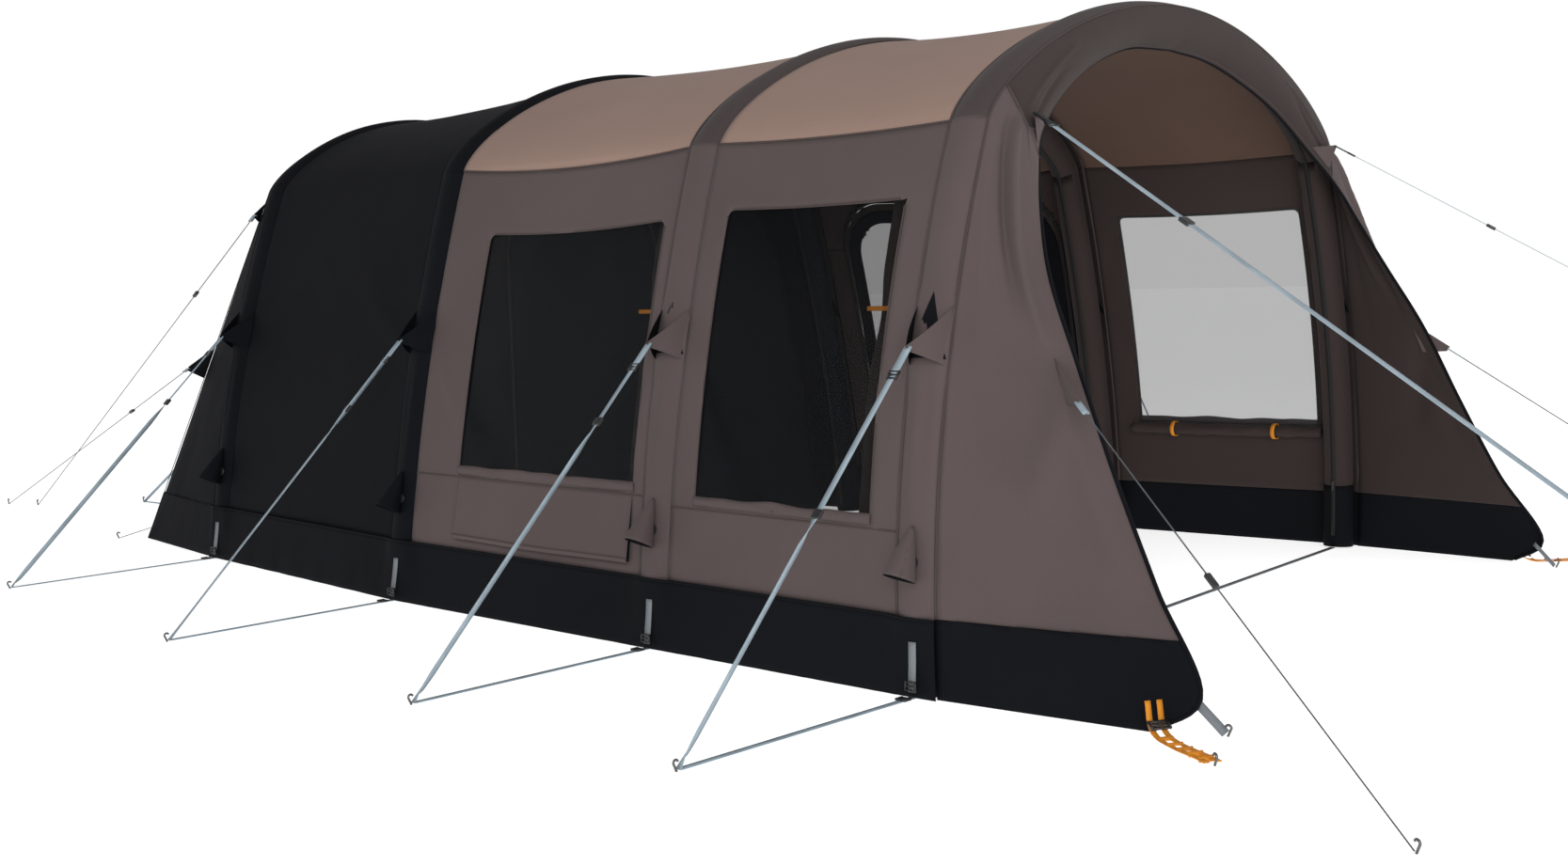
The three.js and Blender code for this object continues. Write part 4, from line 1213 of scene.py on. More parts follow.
class TENT_OT_sleeves(Builder, bpy.types.Operator):
    """Adds the cloth sleeves over the beams with their guy tabs and valve hoods."""

    bl_idname = "tent.sleeves"
    bl_label = "Beam Sleeves"

    def build(self):
        for arch in ARCHES:
            leg, roof = ("taupe", "sleeve") if arch < 2 else ("black", "black")
            node = f"beam_sleeve_{arch + 1}"
            slot = "sleeve_cloth" if arch < 2 else "black_cloth"
            self.part(arch, "left", (-ABOVE_FLAP, -0.5), leg, node, slot)
            self.part(arch, "roof", (-0.5, 0.5), roof, node, slot)
            self.part(arch, "right", (0.5, ABOVE_FLAP), leg, node, slot)
            for across, edge in ((-1, "front"), (1, "back")):
                self.edge_seam(arch, across, edge, "seam" if arch < 2 else "black")
            for side, name in SIDES:
                self.tab(arch, side, name, leg)
            self.hood(arch, leg)

    def part(self, arch, name, span, material, node, slot):
        def relief(a, b):
            z = (1 - abs(b / GIRTH)) * 2 * EAVE_HEIGHT
            pulled = 0.010 * math.exp(-((z - GUY_HEIGHT - 0.02) / 0.09) ** 2)
            draped = 0.0035 * math.exp(-((z - 0.75) / 0.20) ** 2) * math.sin(a * 95 + 1.2 * arch)
            soft = noise.noise(Vector((a * 9, b * 2.6, arch * 5.1)))
            return (pulled + draped if name != "roof" else 0.0) + 0.0022 * soft
        cloth(f"sleeve_{arch + 1}_{name}", ((-BAND_HALF, BAND_HALF), (span[0] * GIRTH, span[1] * GIRTH)),
              lambda a, b: band_point(arch, a / BAND_HALF, b / GIRTH), [material, "taupe_painted_shade"],
              slot=slot, node=node, relief=relief, cell=0.015)

    def edge_seam(self, arch, across, name, material):
        steps = [(-ABOVE_FLAP + 2 * ABOVE_FLAP * i / 160) for i in range(161)]
        path = [band_point(arch, across * 1.01, p, 0.0016) for p in steps]
        faces = [(outline(ARCH_Y[arch], p, 0.0) - outline(ARCH_Y[arch], p, 0.05)).normalized()
                 for p in steps]
        ribbon(f"sleeve_seam_{arch + 1}_{name}", path, faces, 0.007, 0.0030, material)

    def tab(self, arch, side, name, material):
        """Two triangles of cloth from the sleeve's seams to the tip that holds the guy."""
        tip, peg_place, _ = side_guy(arch, side)
        pull = (peg_place - tip).normalized()
        tip = tip - pull * 0.002
        for across, edge in ((-1, "front"), (1, "back")):
            high = band_point(arch, across, side * (1 - wall_share(GUY_HEIGHT + 0.125)), 0.002)
            low = band_point(arch, across, side * (1 - wall_share(GUY_HEIGHT - 0.050)), 0.002)
            half = (high - low)
            half = (half - pull * half.dot(pull)).normalized() * 0.011

            def place(a, b, high=high, low=low, half=half, across=across):
                root = high.lerp(low, b / 0.175)
                end = (tip + half).lerp(tip - half, b / 0.175)
                point = root.lerp(end, a / 0.13)
                point.y += across * 0.006 * math.sin(math.pi * a / 0.13)
                return point
            cloth(f"tab_{name}_{arch + 1}_{edge}", ((0.0, 0.13), (0.0, 0.175)), place,
                  [material, "black"], relief=waves(arch + across, 0.0016, 0.08), cell=0.012)
        # The black sheet above the tab is painted shadow, not a lining.
        self.paint_slit_shadow(arch, side, name)

    def paint_slit_shadow(self, arch, side, name):
        """Black sheet on the sleeve above the tab: painted shadow of the slit between the tab and the wall."""
        def place(a, b):
            z = mix(GUY_HEIGHT - 0.03, GUY_HEIGHT + 0.16, b / 0.19)
            narrow = 1 - b / 0.19
            position = side * (1 - wall_share(z))
            return band_point(arch, a / 0.05 * narrow, position, 0.0125 * narrow + 0.001)
        cloth(f"tab_slit_shadow_{name}_{arch + 1}", ((-0.05, 0.05), (0.0, 0.19)), place, ["black"],
              cell=0.010)

    def hood(self, arch, material):
        """Cone of cloth over the valve, sewn on at its point and open at the bottom."""
        out = outward_at(arch, -1, HOOD_TOP)
        top = outline(ARCH_Y[arch], wall_share(HOOD_TOP + 0.012) - 1) + out * 0.004
        low = outline(ARCH_Y[arch], wall_share(HOOD_TOP - 0.135) - 1) + out * 0.052
        low.y += 0.012
        path = line(top, low, 14)

        def cone(t, angle):
            pleat = 1 + 0.05 * math.sin(3 * angle + arch) * t
            return (0.003 + 0.046 * t ** 0.8) * pleat
        piece = tube(f"valve_hood_{arch + 1}", path, 0.04, material, sides=28, closed_ends=False,
                     profile=cone)
        piece.data.materials.append(finish("black"))
        thicken(piece, 0.0015, two_faced=True)


# ---- walls, roof, bedroom ----
OPENINGS = {
    "window_left_front": 0.025, "window_left_middle": 0.025, "window_right_front": 0.025,
    "vent_flap": 0.010, "side_door": 0.230}
BAYS = ((0, "front"), (1, "middle"))


def wall_openings(name, bay_name):
    """The openings in one wall, by the node that fills each."""
    found = []
    for node in OPENINGS:
        in_wall = {
            "vent_flap": ("left", "middle"), "side_door": ("right", "middle")}.get(
                node, tuple(node.split("_")[1:]))
        if in_wall == (name, bay_name):
            found.append(node)
    return found


def opening(node, grow=0.0):
    y0, y1, z0, z1 = span_of(node)
    return rectangle(y0, y1, z0, z1, OPENINGS[node], grow)


class TENT_OT_walls(Builder, bpy.types.Operator):
    """Adds the side walls of the front and middle bays with their seams."""

    bl_idname = "tent.walls"
    bl_label = "Side Walls"

    def build(self):
        for side, name in SIDES:
            for bay, bay_name in BAYS:
                self.wall(side, name, bay, bay_name)

    def wall(self, side, name, bay, bay_name):
        start, end = bay_ends(bay)
        holes = [opening(node, 0.002) for node in wall_openings(name, bay_name)]
        folds = together(
            waves(bay + 3 * side, sizes().wrinkle, 0.5),
            fold((start, 1.02), (start + 0.30, 0.60), 0.030, 0.006),
            fold((end, 1.02), (end - 0.30, 0.62), 0.030, 0.006),
            fold((start, 0.95), (start + 0.12, 0.35), 0.022, 0.004),
            fold((end, 1.10), (end - 0.16, 1.50), 0.026, 0.003))
        panels = {"cloth": ((start, end), (FLAP_HEIGHT - LAP, EAVE_HEIGHT))}
        if "side_door" in wall_openings(name, bay_name):
            panels = self.round_door(start, end)
        for part, spans in panels.items():
            cloth(f"wall_{name}_{bay_name}_{part}", spans, side_place(bay, side),
                  ["taupe", "taupe_painted_shade"], slot="taupe_cloth", node=f"wall_{name}_{bay_name}",
                  keep=lambda a, b: min([hole(a, b) for hole in holes]), relief=folds)
        lift = 0.0016
        place = side_place(bay, side, lift)
        self.seam(f"eave_seam_{name}_{bay_name}", side, [
            place(mix(start, end, i / 40), EAVE_HEIGHT - 0.001) for i in range(41)])
        hem_z = span_of(wall_openings(name, bay_name)[0])[2] - 0.022
        if name == "left" or bay == 0:
            self.seam(f"low_seam_{name}_{bay_name}", side, [
                place(mix(start, end, i / 40), hem_z) for i in range(41)])

    def round_door(self, start, end):
        """The four panels sewn together round the side door."""
        y0, y1, z0, z1 = span_of("side_door")
        z1 -= OPENINGS["side_door"]
        return {
            "below": ((start, end), (FLAP_HEIGHT - LAP, z0)),
            "front": ((start, y0), (z0, z1)),
            "back": ((y1, end), (z0, z1)),
            "above": ((start, end), (z1, EAVE_HEIGHT))}

    def seam(self, name, side, path):
        faces = [Vector((side, 0.0, 0.25)).normalized()] * len(path)
        ribbon(name, path, faces, 0.0055, 0.0022, "seam")


class TENT_OT_roof(Builder, bpy.types.Operator):
    """Adds the roof panels of the front and middle bays."""

    bl_idname = "tent.roof"
    bl_label = "Roof"

    def build(self):
        for bay, name in BAYS:
            cloth(f"roof_{name}_cloth", ((-0.5 * GIRTH, 0.5 * GIRTH), bay_ends(bay)),
                  roof_place(bay), ["sand", "sand_painted_shade"], slot="sand_cloth",
                  node=f"roof_{name}", relief=waves(11 + bay, 0.0020, 0.7), cell=0.030)


class TENT_OT_bedroom_fly(Builder, bpy.types.Operator):
    """Adds the black fly over the bedroom and the sloping rear wall with its tabs."""

    bl_idname = "tent.bedroom_fly"
    bl_label = "Bedroom Fly"

    def build(self):
        start, end = bay_ends(2)
        reach = ABOVE_FLAP * GIRTH
        folds = together(
            waves(17, 0.0030, 0.6),
            lambda a, b: fold((2.3, start), (2.0, start + 0.5), 0.05, 0.006)(abs(a), b),
            lambda a, b: fold((2.25, end), (2.0, end - 0.5), 0.05, 0.006)(abs(a), b))
        cloth("bedroom_fly_cloth", ((-reach, reach), (start, end)), roof_place(2),
              ["black", "navy"], slot="black_cloth", node="bedroom_fly", relief=folds, cell=0.030)
        cloth("rear_wall_cloth", ((-GIRTH, GIRTH), (0.0, REAR_SLOPE)),
              lambda a, b: rear_point(a / GIRTH, b / REAR_SLOPE), ["black", "navy"],
              slot="black_cloth", node="rear_wall", core=rear_core, cell=0.035,
              relief=waves(19, 0.0035, 0.6),
              planes=[((0, 0, FLAP_HEIGHT - LAP), (0, 0, -1))])
        for side, name in SIDES:
            self.rear_tab("guy_rear_high", side, name, 0.5, 0.06)
            self.rear_tab("guy_rear_corner", side, name, 0.5, 0.10)
            self.rear_tab("guy_rear_middle", side, name, 0.360 / REAR_HALF_WIDTH / 2, 0.10)
            edge = [rear_point(side * 0.5, 0.002 + 0.88 * i / 40, 0.0022) for i in range(41)]
            out = Vector((side, 0.6, 0.3)).normalized()
            ribbon(f"rear_seam_{name}", edge, [out] * len(edge), 0.010, 0.0030, "black")

    def rear_tab(self, guy, side, name, station, spread):
        tip, peg_place = free_guy(guy, side)[:2]
        pull = (peg_place - tip).normalized()
        tip = tip - pull * 0.002
        roots = []
        for step in (spread, -spread / 2):
            top = rear_point(side * station, 0.0)
            roots.append(rear_point(side * station, 1 - (tip.z + step) / top.z, 0.002))
        half = roots[0] - roots[1]
        half = (half - pull * half.dot(pull)).normalized() * 0.011

        def place(a, b):
            return roots[0].lerp(roots[1], b / 0.1).lerp((tip + half).lerp(tip - half, b / 0.1), a / 0.1)
        cloth(f"{guy}_tab_{name}", ((0.0, 0.1), (0.0, 0.1)), place, ["black"], cell=0.012,
              relief=waves(23 + side, 0.002, 0.08))


class TENT_OT_mud_flaps(Builder, bpy.types.Operator):
    """Adds the black mud flaps along the foot of the tent."""

    bl_idname = "tent.mud_flaps"
    bl_label = "Mud Flaps"

    def build(self):
        for side, name in SIDES:
            def place(y, z, side=side):
                near = max(math.exp(-((y - arch_y) / 0.085) ** 4) for arch_y in ARCH_Y)
                top = mix(PANEL_INSET - 0.004, -0.0025, near)
                return wall_point(side, y, z, mix(0.002, top, smooth_step(z, 0.0, FLAP_HEIGHT)))
            length = (CANOPY_BACK - LAP, REAR_START + LAP)
            cloth(f"mud_flap_{name}_cloth", (length, (0.0, FLAP_HEIGHT)), place, ["black", "black"],
                  slot="black_cloth", node=f"mud_flap_{name}", relief=self.hanging(29 + side))
            reach = -side * GIRTH
            cloth(f"wing_flap_{name}", ((-reach, -reach * 0.84), (0.0, CANOPY_DEPTH)),
                  lambda a, b: canopy_point(a / GIRTH, b / CANOPY_DEPTH, LAP), ["black", "black"],
                  slot="black_cloth", node=f"mud_flap_{name}", core=canopy_core,
                  relief=self.soft(31 + side), planes=[((0, 0, FLAP_HEIGHT), (0, 0, 1))])
            top = [place(mix(CANOPY_BACK, REAR_START, i / 160), FLAP_HEIGHT - 0.004)
                   + Vector((side * 0.0015, 0, 0)) for i in range(161)]
            ribbon(f"mud_flap_seam_{name}", top, [Vector((side, 0, 0.1))] * 161, 0.008, 0.0024, "black")
            corner = (side * 0.5 * GIRTH, side * GIRTH)
            self.rear_flap(f"rear_corner_flap_{name}", (corner, (0.0, REAR_SLOPE)), f"mud_flap_{name}")
        middle = (-0.5 * GIRTH, 0.5 * GIRTH)
        self.rear_flap("mud_flap_rear_cloth", (middle, (1.60, REAR_SLOPE)), "mud_flap_rear")

    def rear_flap(self, label, spans, node):
        cloth(label, spans, lambda a, b: rear_point(a / GIRTH, b / REAR_SLOPE, LAP), ["black", "black"],
              slot="black_cloth", node=node, core=rear_core, cell=0.030, relief=self.soft(37),
              planes=[((0, 0, FLAP_HEIGHT), (0, 0, 1))])

    def hanging(self, seed):
        """Folds that grow towards the free lower edge."""
        def relief(a, b):
            free = 1 - b / FLAP_HEIGHT
            ripple = noise.noise(Vector((a * 4.5, b * 2.0, seed)))
            finer = noise.noise(Vector((a * 17.0, b * 5.0, seed + 2.0)))
            return -abs(0.006 * ripple + 0.0025 * finer) * free
        return relief

    def soft(self, seed):
        return waves(seed, 0.0022, 0.35)


# ---- canopy ----
class TENT_OT_canopy(Builder, bpy.types.Operator):
    """Adds the hood over the first arch, the wings in front and the piping on their edge."""

    bl_idname = "tent.canopy"
    bl_label = "Canopy"

    def build(self):
        reach = (1 - HOOD_SHARE) * GIRTH
        hood_folds = together(
            waves(41, 0.0020, 0.4),
            lambda a, b: fold((0.95, 0.30), (1.30, 0.52), 0.030, 0.010)(abs(a), b),
            lambda a, b: fold((0.85, 0.16), (1.30, 0.30), 0.022, -0.007)(abs(a), b))
        cloth("hood_cloth", ((-reach, reach), (0.0, CANOPY_DEPTH)),
              lambda a, b: canopy_point(a / GIRTH, b / CANOPY_DEPTH, 0.001), ["sleeve", "taupe_painted_shade"],
              slot="sleeve_cloth", node="hood", core=canopy_core, relief=hood_folds)
        for side, name in SIDES:
            self.wing(side, name)
            self.hood_patch(side, name)
            self.hood_tab(side, name)
            self.wing_tab(side, name)
        edge = [canopy_point(-0.995 + 1.99 * i / 240, 1.0) for i in range(241)]
        tube("canopy_piping", edge, sizes().piping, "black", sides=8)
        hem = [canopy_point(-(1 - HOOD_SHARE) + 2 * (1 - HOOD_SHARE) * i / 120, 0.93, 0.003)
               for i in range(121)]
        ribbon("hood_hem_seam", hem, [(p - Vector((0, ARCH_Y[0], 1.3))).normalized() for p in hem],
               0.005, 0.0024, "seam")

    def wing(self, side, name):
        def mirrored(start, end, width, height):
            shape = fold(start, end, width, height)
            return lambda a, b: shape(abs(a), b)
        folds = together(
            waves(43 + side, 0.0030, 0.45),
            mirrored((1.36, 0.26), (2.02, 0.52), 0.050, 0.032),
            mirrored((1.36, 0.18), (1.95, 0.38), 0.040, -0.022),
            mirrored((2.16, 0.56), (2.60, 0.30), 0.060, 0.018),
            mirrored((2.16, 0.56), (2.75, 0.60), 0.060, 0.014),
            mirrored((1.40, 0.08), (2.30, 0.16), 0.050, 0.006))
        span = (side * (1 - HOOD_SHARE + 0.0006) * GIRTH, side * GIRTH)
        cloth(f"wing_{name}_cloth", (span, (0.0, CANOPY_DEPTH)),
              lambda a, b: canopy_point(a / GIRTH, b / CANOPY_DEPTH), ["taupe", "taupe_painted_shade"],
              slot="taupe_cloth", node=f"wing_{name}", core=canopy_core, relief=folds,
              planes=[((0, 0, FLAP_HEIGHT - LAP), (0, 0, -1))])
        join = [canopy_point(side * (1 - HOOD_SHARE), 0.02 + 0.96 * i / 24, 0.0025) for i in range(25)]
        out = Vector((side, -0.4, 0.6)).normalized()
        ribbon(f"wing_seam_{name}", join, [out] * 25, 0.008, 0.0024, "seam")

    def hood_patch(self, side, name):
        """Three-cornered reinforcement where the hood's guy pulls."""
        def place(a, b):
            column = side * (0.345 + 0.11 * a / 0.2)
            row = 1 - (0.05 + 0.42 * b / 0.2) * (1 - abs(2 * a / 0.2 - 1))
            return canopy_point(column, min(row, 0.985), 0.0045)
        cloth(f"hood_patch_{name}", ((0.002, 0.198), (0.0, 0.2)), place, ["taupe"], cell=0.012,
              core=canopy_core)

    def pulled_tab(self, label, guy, side, column, row, material):
        tip, peg_place = free_guy(guy, side)[:2]
        pull = (peg_place - tip).normalized()
        tip = tip - pull * 0.002
        roots = [canopy_point(side * (column + step), row, 0.002) for step in (-0.022, 0.022)]
        half = roots[0] - roots[1]
        half = (half - pull * half.dot(pull)).normalized() * 0.011

        def place(a, b):
            root = roots[0].lerp(roots[1], b / 0.1)
            return root.lerp((tip + half).lerp(tip - half, b / 0.1), a / 0.1)
        cloth(label, ((0.0, 0.1), (0.0, 0.1)), place, [material], cell=0.012, core=canopy_core)

    def hood_tab(self, side, name):
        self.pulled_tab(f"hood_tab_{name}", "guy_hood", side, 1 - HOOD_SHARE - 0.03, 0.85, "taupe")

    def wing_tab(self, side, name):
        self.pulled_tab(f"wing_tab_{name}", "guy_wing", side, 0.66, 0.8, "taupe")


# ---- windows and doors ----
WINDOWS = (
    (-1, "left", 0, "front", "film"), (-1, "left", 1, "middle", "film"),
    (1, "right", 0, "front", "clear"))


def ring(distance, inner, outer):
    """Keeps the strip between two distances from an opening's edge."""
    return lambda a, b: min(distance(a, b) - inner, outer - distance(a, b))


def around(node, reach):
    y0, y1, z0, z1 = span_of(node)
    return (y0 - reach, y1 + reach), (z0 - reach, z1 + reach)


class TENT_OT_windows(Builder, bpy.types.Operator):
    """Adds the window panes, their hems, the wrinkled cloth below and a rolled-up blind."""

    bl_idname = "tent.windows"
    bl_label = "Windows"

    def build(self):
        for side, name, bay, bay_name, film in WINDOWS:
            node = f"window_{name}_{bay_name}"
            hole = opening(node)
            cloth(f"{node}_pane", around(node, 0.012), side_place(bay, side, -0.003), [film],
                  slot="clear_film", node=node, keep=lambda a, b, hole=hole: 0.011 - hole(a, b),
                  thickness=sizes().film, relief=waves(53 + bay, 0.0030, 0.35))
            cloth(f"{node}_hem", around(node, 0.03), side_place(bay, side, 0.0014), ["seam"],
                  keep=ring(hole, 0.0005, 0.006), cell=0.016, declare=False)
            self.lip(node, side, bay)
            if side > 0:
                self.blind(node, side, bay)
            else:
                self.gathered(node, side, bay)

    def lip(self, node, side, bay):
        """Slack cloth gathered along the bottom of a window."""
        y0, y1, z0, _ = span_of(node)
        low, tall = z0 - 0.012, 0.034

        def relief(a, b):
            t = clamp((b - low) / tall, 0.001, 0.999)
            ripple = noise.noise(Vector((a * 11.0, b * 9.0, bay + 5.0)))
            finer = noise.noise(Vector((a * 43.0, b * 30.0, bay + 9.0)))
            end = math.exp(-((a - y0 - 0.06) / 0.05) ** 2) + math.exp(-((a - y1 + 0.05) / 0.05) ** 2)
            return (0.004 + 0.006 * ripple + 0.004 * finer + 0.006 * end) * math.sin(math.pi * t) ** 0.6

        def place(a, b):
            wavy = 0.008 * noise.noise(Vector((a * 7.0, 2.0, bay + 1.0))) * (b - low) / tall
            return side_place(bay, side, 0.002)(a, b + wavy)
        cloth(f"{node}_lip", ((y0 - 0.006, y1 + 0.006), (low, low + tall)), place, ["taupe"],
              relief=relief, cell=0.009, declare=False)

    def blind(self, node, side, bay):
        """Rolled-up blind held by toggles under a window, inside the tent."""
        y0, y1, z0, _ = span_of(node)
        inside = side_place(bay, side, -0.034)
        path = [inside(mix(y0 - 0.03, y1 + 0.03, i / 60), z0 - 0.028) for i in range(61)]

        def rolled(t, angle):
            loose = noise.noise(Vector((t * 14.0, math.cos(angle), math.sin(angle))))
            return 0.024 + 0.005 * loose + 0.0012 * math.sin(3 * angle + t * 40)
        tube(f"{node}_blind", path, 0.024, "taupe_painted_shade", sides=20, profile=rolled)
        for i, t in enumerate((0.23, 0.76)):
            self.toggle(f"{node}_toggle_{i + 1}", path[round(t * 60)], side)

    def toggle(self, name, centre, side):
        loop = [centre + Vector((math.cos(angle) * 0.033 * -side, 0.0, math.sin(angle) * 0.033))
                for angle in (-2.2 + 4.6 * i / 20 for i in range(21))]
        faces = [(p - centre).normalized() for p in loop]
        ribbon(name, loop, faces, 0.018, 0.0024, "orange")

    def gathered(self, node, side, bay):
        """Blind drawn aside and held by an orange toggle, behind the window."""
        y0, y1, z0, z1 = span_of(node)
        inside = side_place(bay, side, -0.055)
        y = y0 + 0.045 if bay == 0 else y0 + 0.035
        path = [inside(y, mix(z0 - 0.03, z1 + 0.03, i / 60)) for i in range(61)]

        def bundled(t, angle):
            waist = 1 - 0.45 * math.exp(-((t - 0.62) / 0.10) ** 2)
            pleat = 0.004 * math.sin(5 * angle + 2 * math.sin(t * 7))
            return 0.026 * waist + pleat + 0.003 * noise.noise(Vector((t * 8, angle, bay)))
        tube(f"{node}_blind", path, 0.026, "taupe_painted_shade", sides=24, profile=bundled)
        held = path[round(0.66 * 60)]
        strap = [held + Vector((side * 0.022, (i - 6) * 0.010, -0.003)) for i in range(13)]
        ribbon(f"{node}_toggle", strap, [Vector((side, 0, 0))] * 13, 0.014, 0.0024, "orange")


class TENT_OT_vent(Builder, bpy.types.Operator):
    """Adds the low vent with its mesh and the flap that hangs over it."""

    bl_idname = "tent.vent"
    bl_label = "Vent"

    def build(self):
        hole = opening("vent_flap")
        cloth("vent_mesh", around("vent_flap", 0.010), side_place(1, -1, -0.004), ["mesh"],
              keep=lambda a, b: 0.009 - hole(a, b), relief=waves(61, 0.002, 0.2))
        y0, y1, z0, z1 = span_of("vent_flap")
        wall = side_place(1, -1)

        def place(a, b):
            down = clamp((z1 - b) / (z1 - z0))
            t = clamp((a - y0) / (y1 - y0))
            open_by = 0.026 * (0.55 + 0.75 * math.sin(math.pi * t) ** 2) * down ** 1.3
            return wall(a, b) + Vector((-0.0015 - open_by, 0.0, 0.0))
        cloth("vent_flap_cloth", ((y0 - 0.002, y1 + 0.002), (z0 - 0.004, z1 + 0.004)), place,
              ["taupe", "black"], body="vent_flap", slot="taupe_cloth", node="vent_flap",
              relief=waves(63, 0.0016, 0.3))
        hem = [place(mix(y0, y1, i / 60), z0 + 0.010) + Vector((-0.0012, 0, 0)) for i in range(61)]
        ribbon("vent_flap_seam", hem, [Vector((-1, 0, 0))] * 61, 0.0045, 0.0020, "seam",
               body="vent_flap")


class TENT_OT_side_door(Builder, bpy.types.Operator):
    """Adds the side door with its clear pane, black border and zip."""

    bl_idname = "tent.side_door"
    bl_label = "Side Door"

    def build(self):
        door, pane = opening("side_door"), self.pane()
        wall = side_place(1, 1)
        cloth("side_door_cloth", around("side_door", 0.004), wall, ["taupe", "taupe_painted_shade"],
              body="side_door", slot="taupe_cloth", node="side_door", cell=0.018,
              keep=lambda a, b: min(-door(a, b), pane(a, b)), relief=waves(67))
        cloth("side_door_pane", around("side_door_window", 0.014), side_place(1, 1, -0.003),
              ["clear"], body="side_door", slot="clear_film", node="side_door_window",
              keep=lambda a, b: 0.012 - pane(a, b), thickness=sizes().film, cell=0.018,
              relief=waves(69, 0.003, 0.4))
        for lift, reach, side_name in ((0.0018, 0.028, "outer"), (-0.0058, 0.062, "inner")):
            cloth(f"side_door_border_{side_name}", around("side_door_window", 0.07),
                  side_place(1, 1, lift), ["black"], body="side_door",
                  keep=ring(pane, 0.001, reach), cell=0.012, declare=False)
            cloth(f"side_door_zip_{side_name}", around("side_door", 0.03),
                  side_place(1, 1, lift), ["black_webbing"],
                  keep=ring(door, 0.003, 0.020), cell=0.012, declare=False)

    def pane(self):
        y0, y1, z0, z1 = span_of("side_door_window")
        return rectangle(y0, y1, z0, z1, 0.170)


class TENT_OT_inner_tent(Builder, bpy.types.Operator):
    """Adds the inner tent with its door and the tray of the groundsheet."""

    bl_idname = "tent.inner_tent"
    bl_label = "Inner Tent"

    def build(self):
        low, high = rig.box("inner_tent")
        self.front, self.back = low.y + 0.001, high.y - 0.001
        self.squash = INNER_HEIGHT / (RIDGE[2] - INNER_GAP)
        reach = GIRTH * (1 - wall_share(0.004))

        def shell(a, y):
            return self.inner(y, a / GIRTH)
        cloth("inner_tent_shell", ((-reach, reach), (self.front, self.back)), shell, ["navy"],
              slot="inner_cloth", node="inner_tent", cell=0.035, relief=self.inwards(71))
        door = self.door()
        for y, name, keep in (
                (self.front, "front", lambda a, b: min(self.inside(self.front, a, b), door(a, b))),
                (self.back, "back", lambda a, b: self.inside(self.back, a, b))):
            cloth(f"inner_tent_{name}", ((-1.34, 1.34), (0.003, 1.79)),
                  lambda a, b, y=y: Vector((a, y, b)), ["navy"], slot="inner_cloth",
                  node="inner_tent", keep=keep, cell=0.030)
        cloth("inner_door_cloth", ((-0.72, 0.15), (0.15, 1.56)),
              lambda a, b: Vector((a, self.front, b)), ["navy"], body="inner_door",
              slot="inner_cloth", node="inner_door", keep=lambda a, b: -0.003 - door(a, b),
              cell=0.020)
        cloth("inner_door_zip", ((-0.76, 0.19), (0.11, 1.60)),
              lambda a, b: Vector((a, self.front - 0.003, b)), ["black_webbing"],
              keep=ring(door, 0.002, 0.018), cell=0.012, declare=False)
        self.tray()

    def inwards(self, seed):
        ripple = waves(seed, 0.002, 0.5)
        return lambda a, b: -abs(ripple(a, b))

    def inner(self, y, position, inset=0.001):
        point = outline(y, position, INNER_GAP + inset)
        return Vector((point.x, y, point.z * self.squash - inset))

    def inside(self, y, a, b):
        """How far a point of an end panel lies inside the inner tent's outline."""
        points = [self.inner(y, 1 - i / 60) for i in range(61)]
        nearest = min((Vector((abs(a), y, b)) - p).length for p in points)
        width = -1.0
        for low, high in zip(points, points[1:]):
            if low.z <= b <= high.z:
                width = mix(low.x, high.x, (b - low.z) / max(high.z - low.z, 1e-6))
        return nearest if abs(a) < width else -nearest

    def door(self):
        return rectangle(-0.720, 0.150, 0.150, 1.560, 0.220)

    def tray(self):
        low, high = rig.box("groundsheet")
        rim = 1 - wall_share((high.z + 0.024) / self.squash)
        inset = INNER_GAP + 0.014

        def half(y):
            return outline(y, rim, inset).x
        y0, y1 = low.y + 0.001, high.y - 0.001

        def base(a, y):
            return Vector((half(y) * a / half(y0), y, 0.0015))
        cloth("groundsheet_base", ((-half(y0), half(y0)), (y0, y1)), base, ["sheet"], slot="groundsheet",
              node="groundsheet", cell=0.04, core=lambda p: Vector((p.x, p.y, 1.0)))
        corners = [(half(y0), y0), (half(y1), y1), (-half(y1), y1), (-half(y0), y0)]
        for i, (start, end) in enumerate(zip(corners, corners[1:] + corners[:1])):
            length = math.dist(start, end)

            def side(a, b, start=start, end=end, length=length):
                t = a / length
                return Vector((mix(start[0], end[0], t), mix(start[1], end[1], t), b))
            cloth(f"groundsheet_side_{i + 1}", ((0.0, length), (0.002, high.z)), side, ["sheet"],
                  slot="groundsheet", node="groundsheet", cell=0.03)


# ---- fittings ----
def box_piece(name, centre, size, along, face, material, body=SHELL, slot=None, node=()):
    """A block with softened edges, its length along one direction and its face to another."""
    bm = bmesh.new()
    bmesh.ops.create_cube(bm, size=1.0)
    bmesh.ops.scale(bm, verts=bm.verts[:], vec=size)
    bmesh.ops.bevel(
        bm, geom=bm.edges[:], offset=min(size) * 0.22, segments=2, affect="EDGES", profile=0.6)
    along = along.normalized()
    face = (face - along * face.dot(along)).normalized()
    turn = Matrix((along, face.cross(along), face)).transposed().to_4x4()
    bmesh.ops.transform(bm, verts=bm.verts[:], matrix=Matrix.Translation(centre) @ turn)
    return to_object(bm, name, [material], body, slot, node)


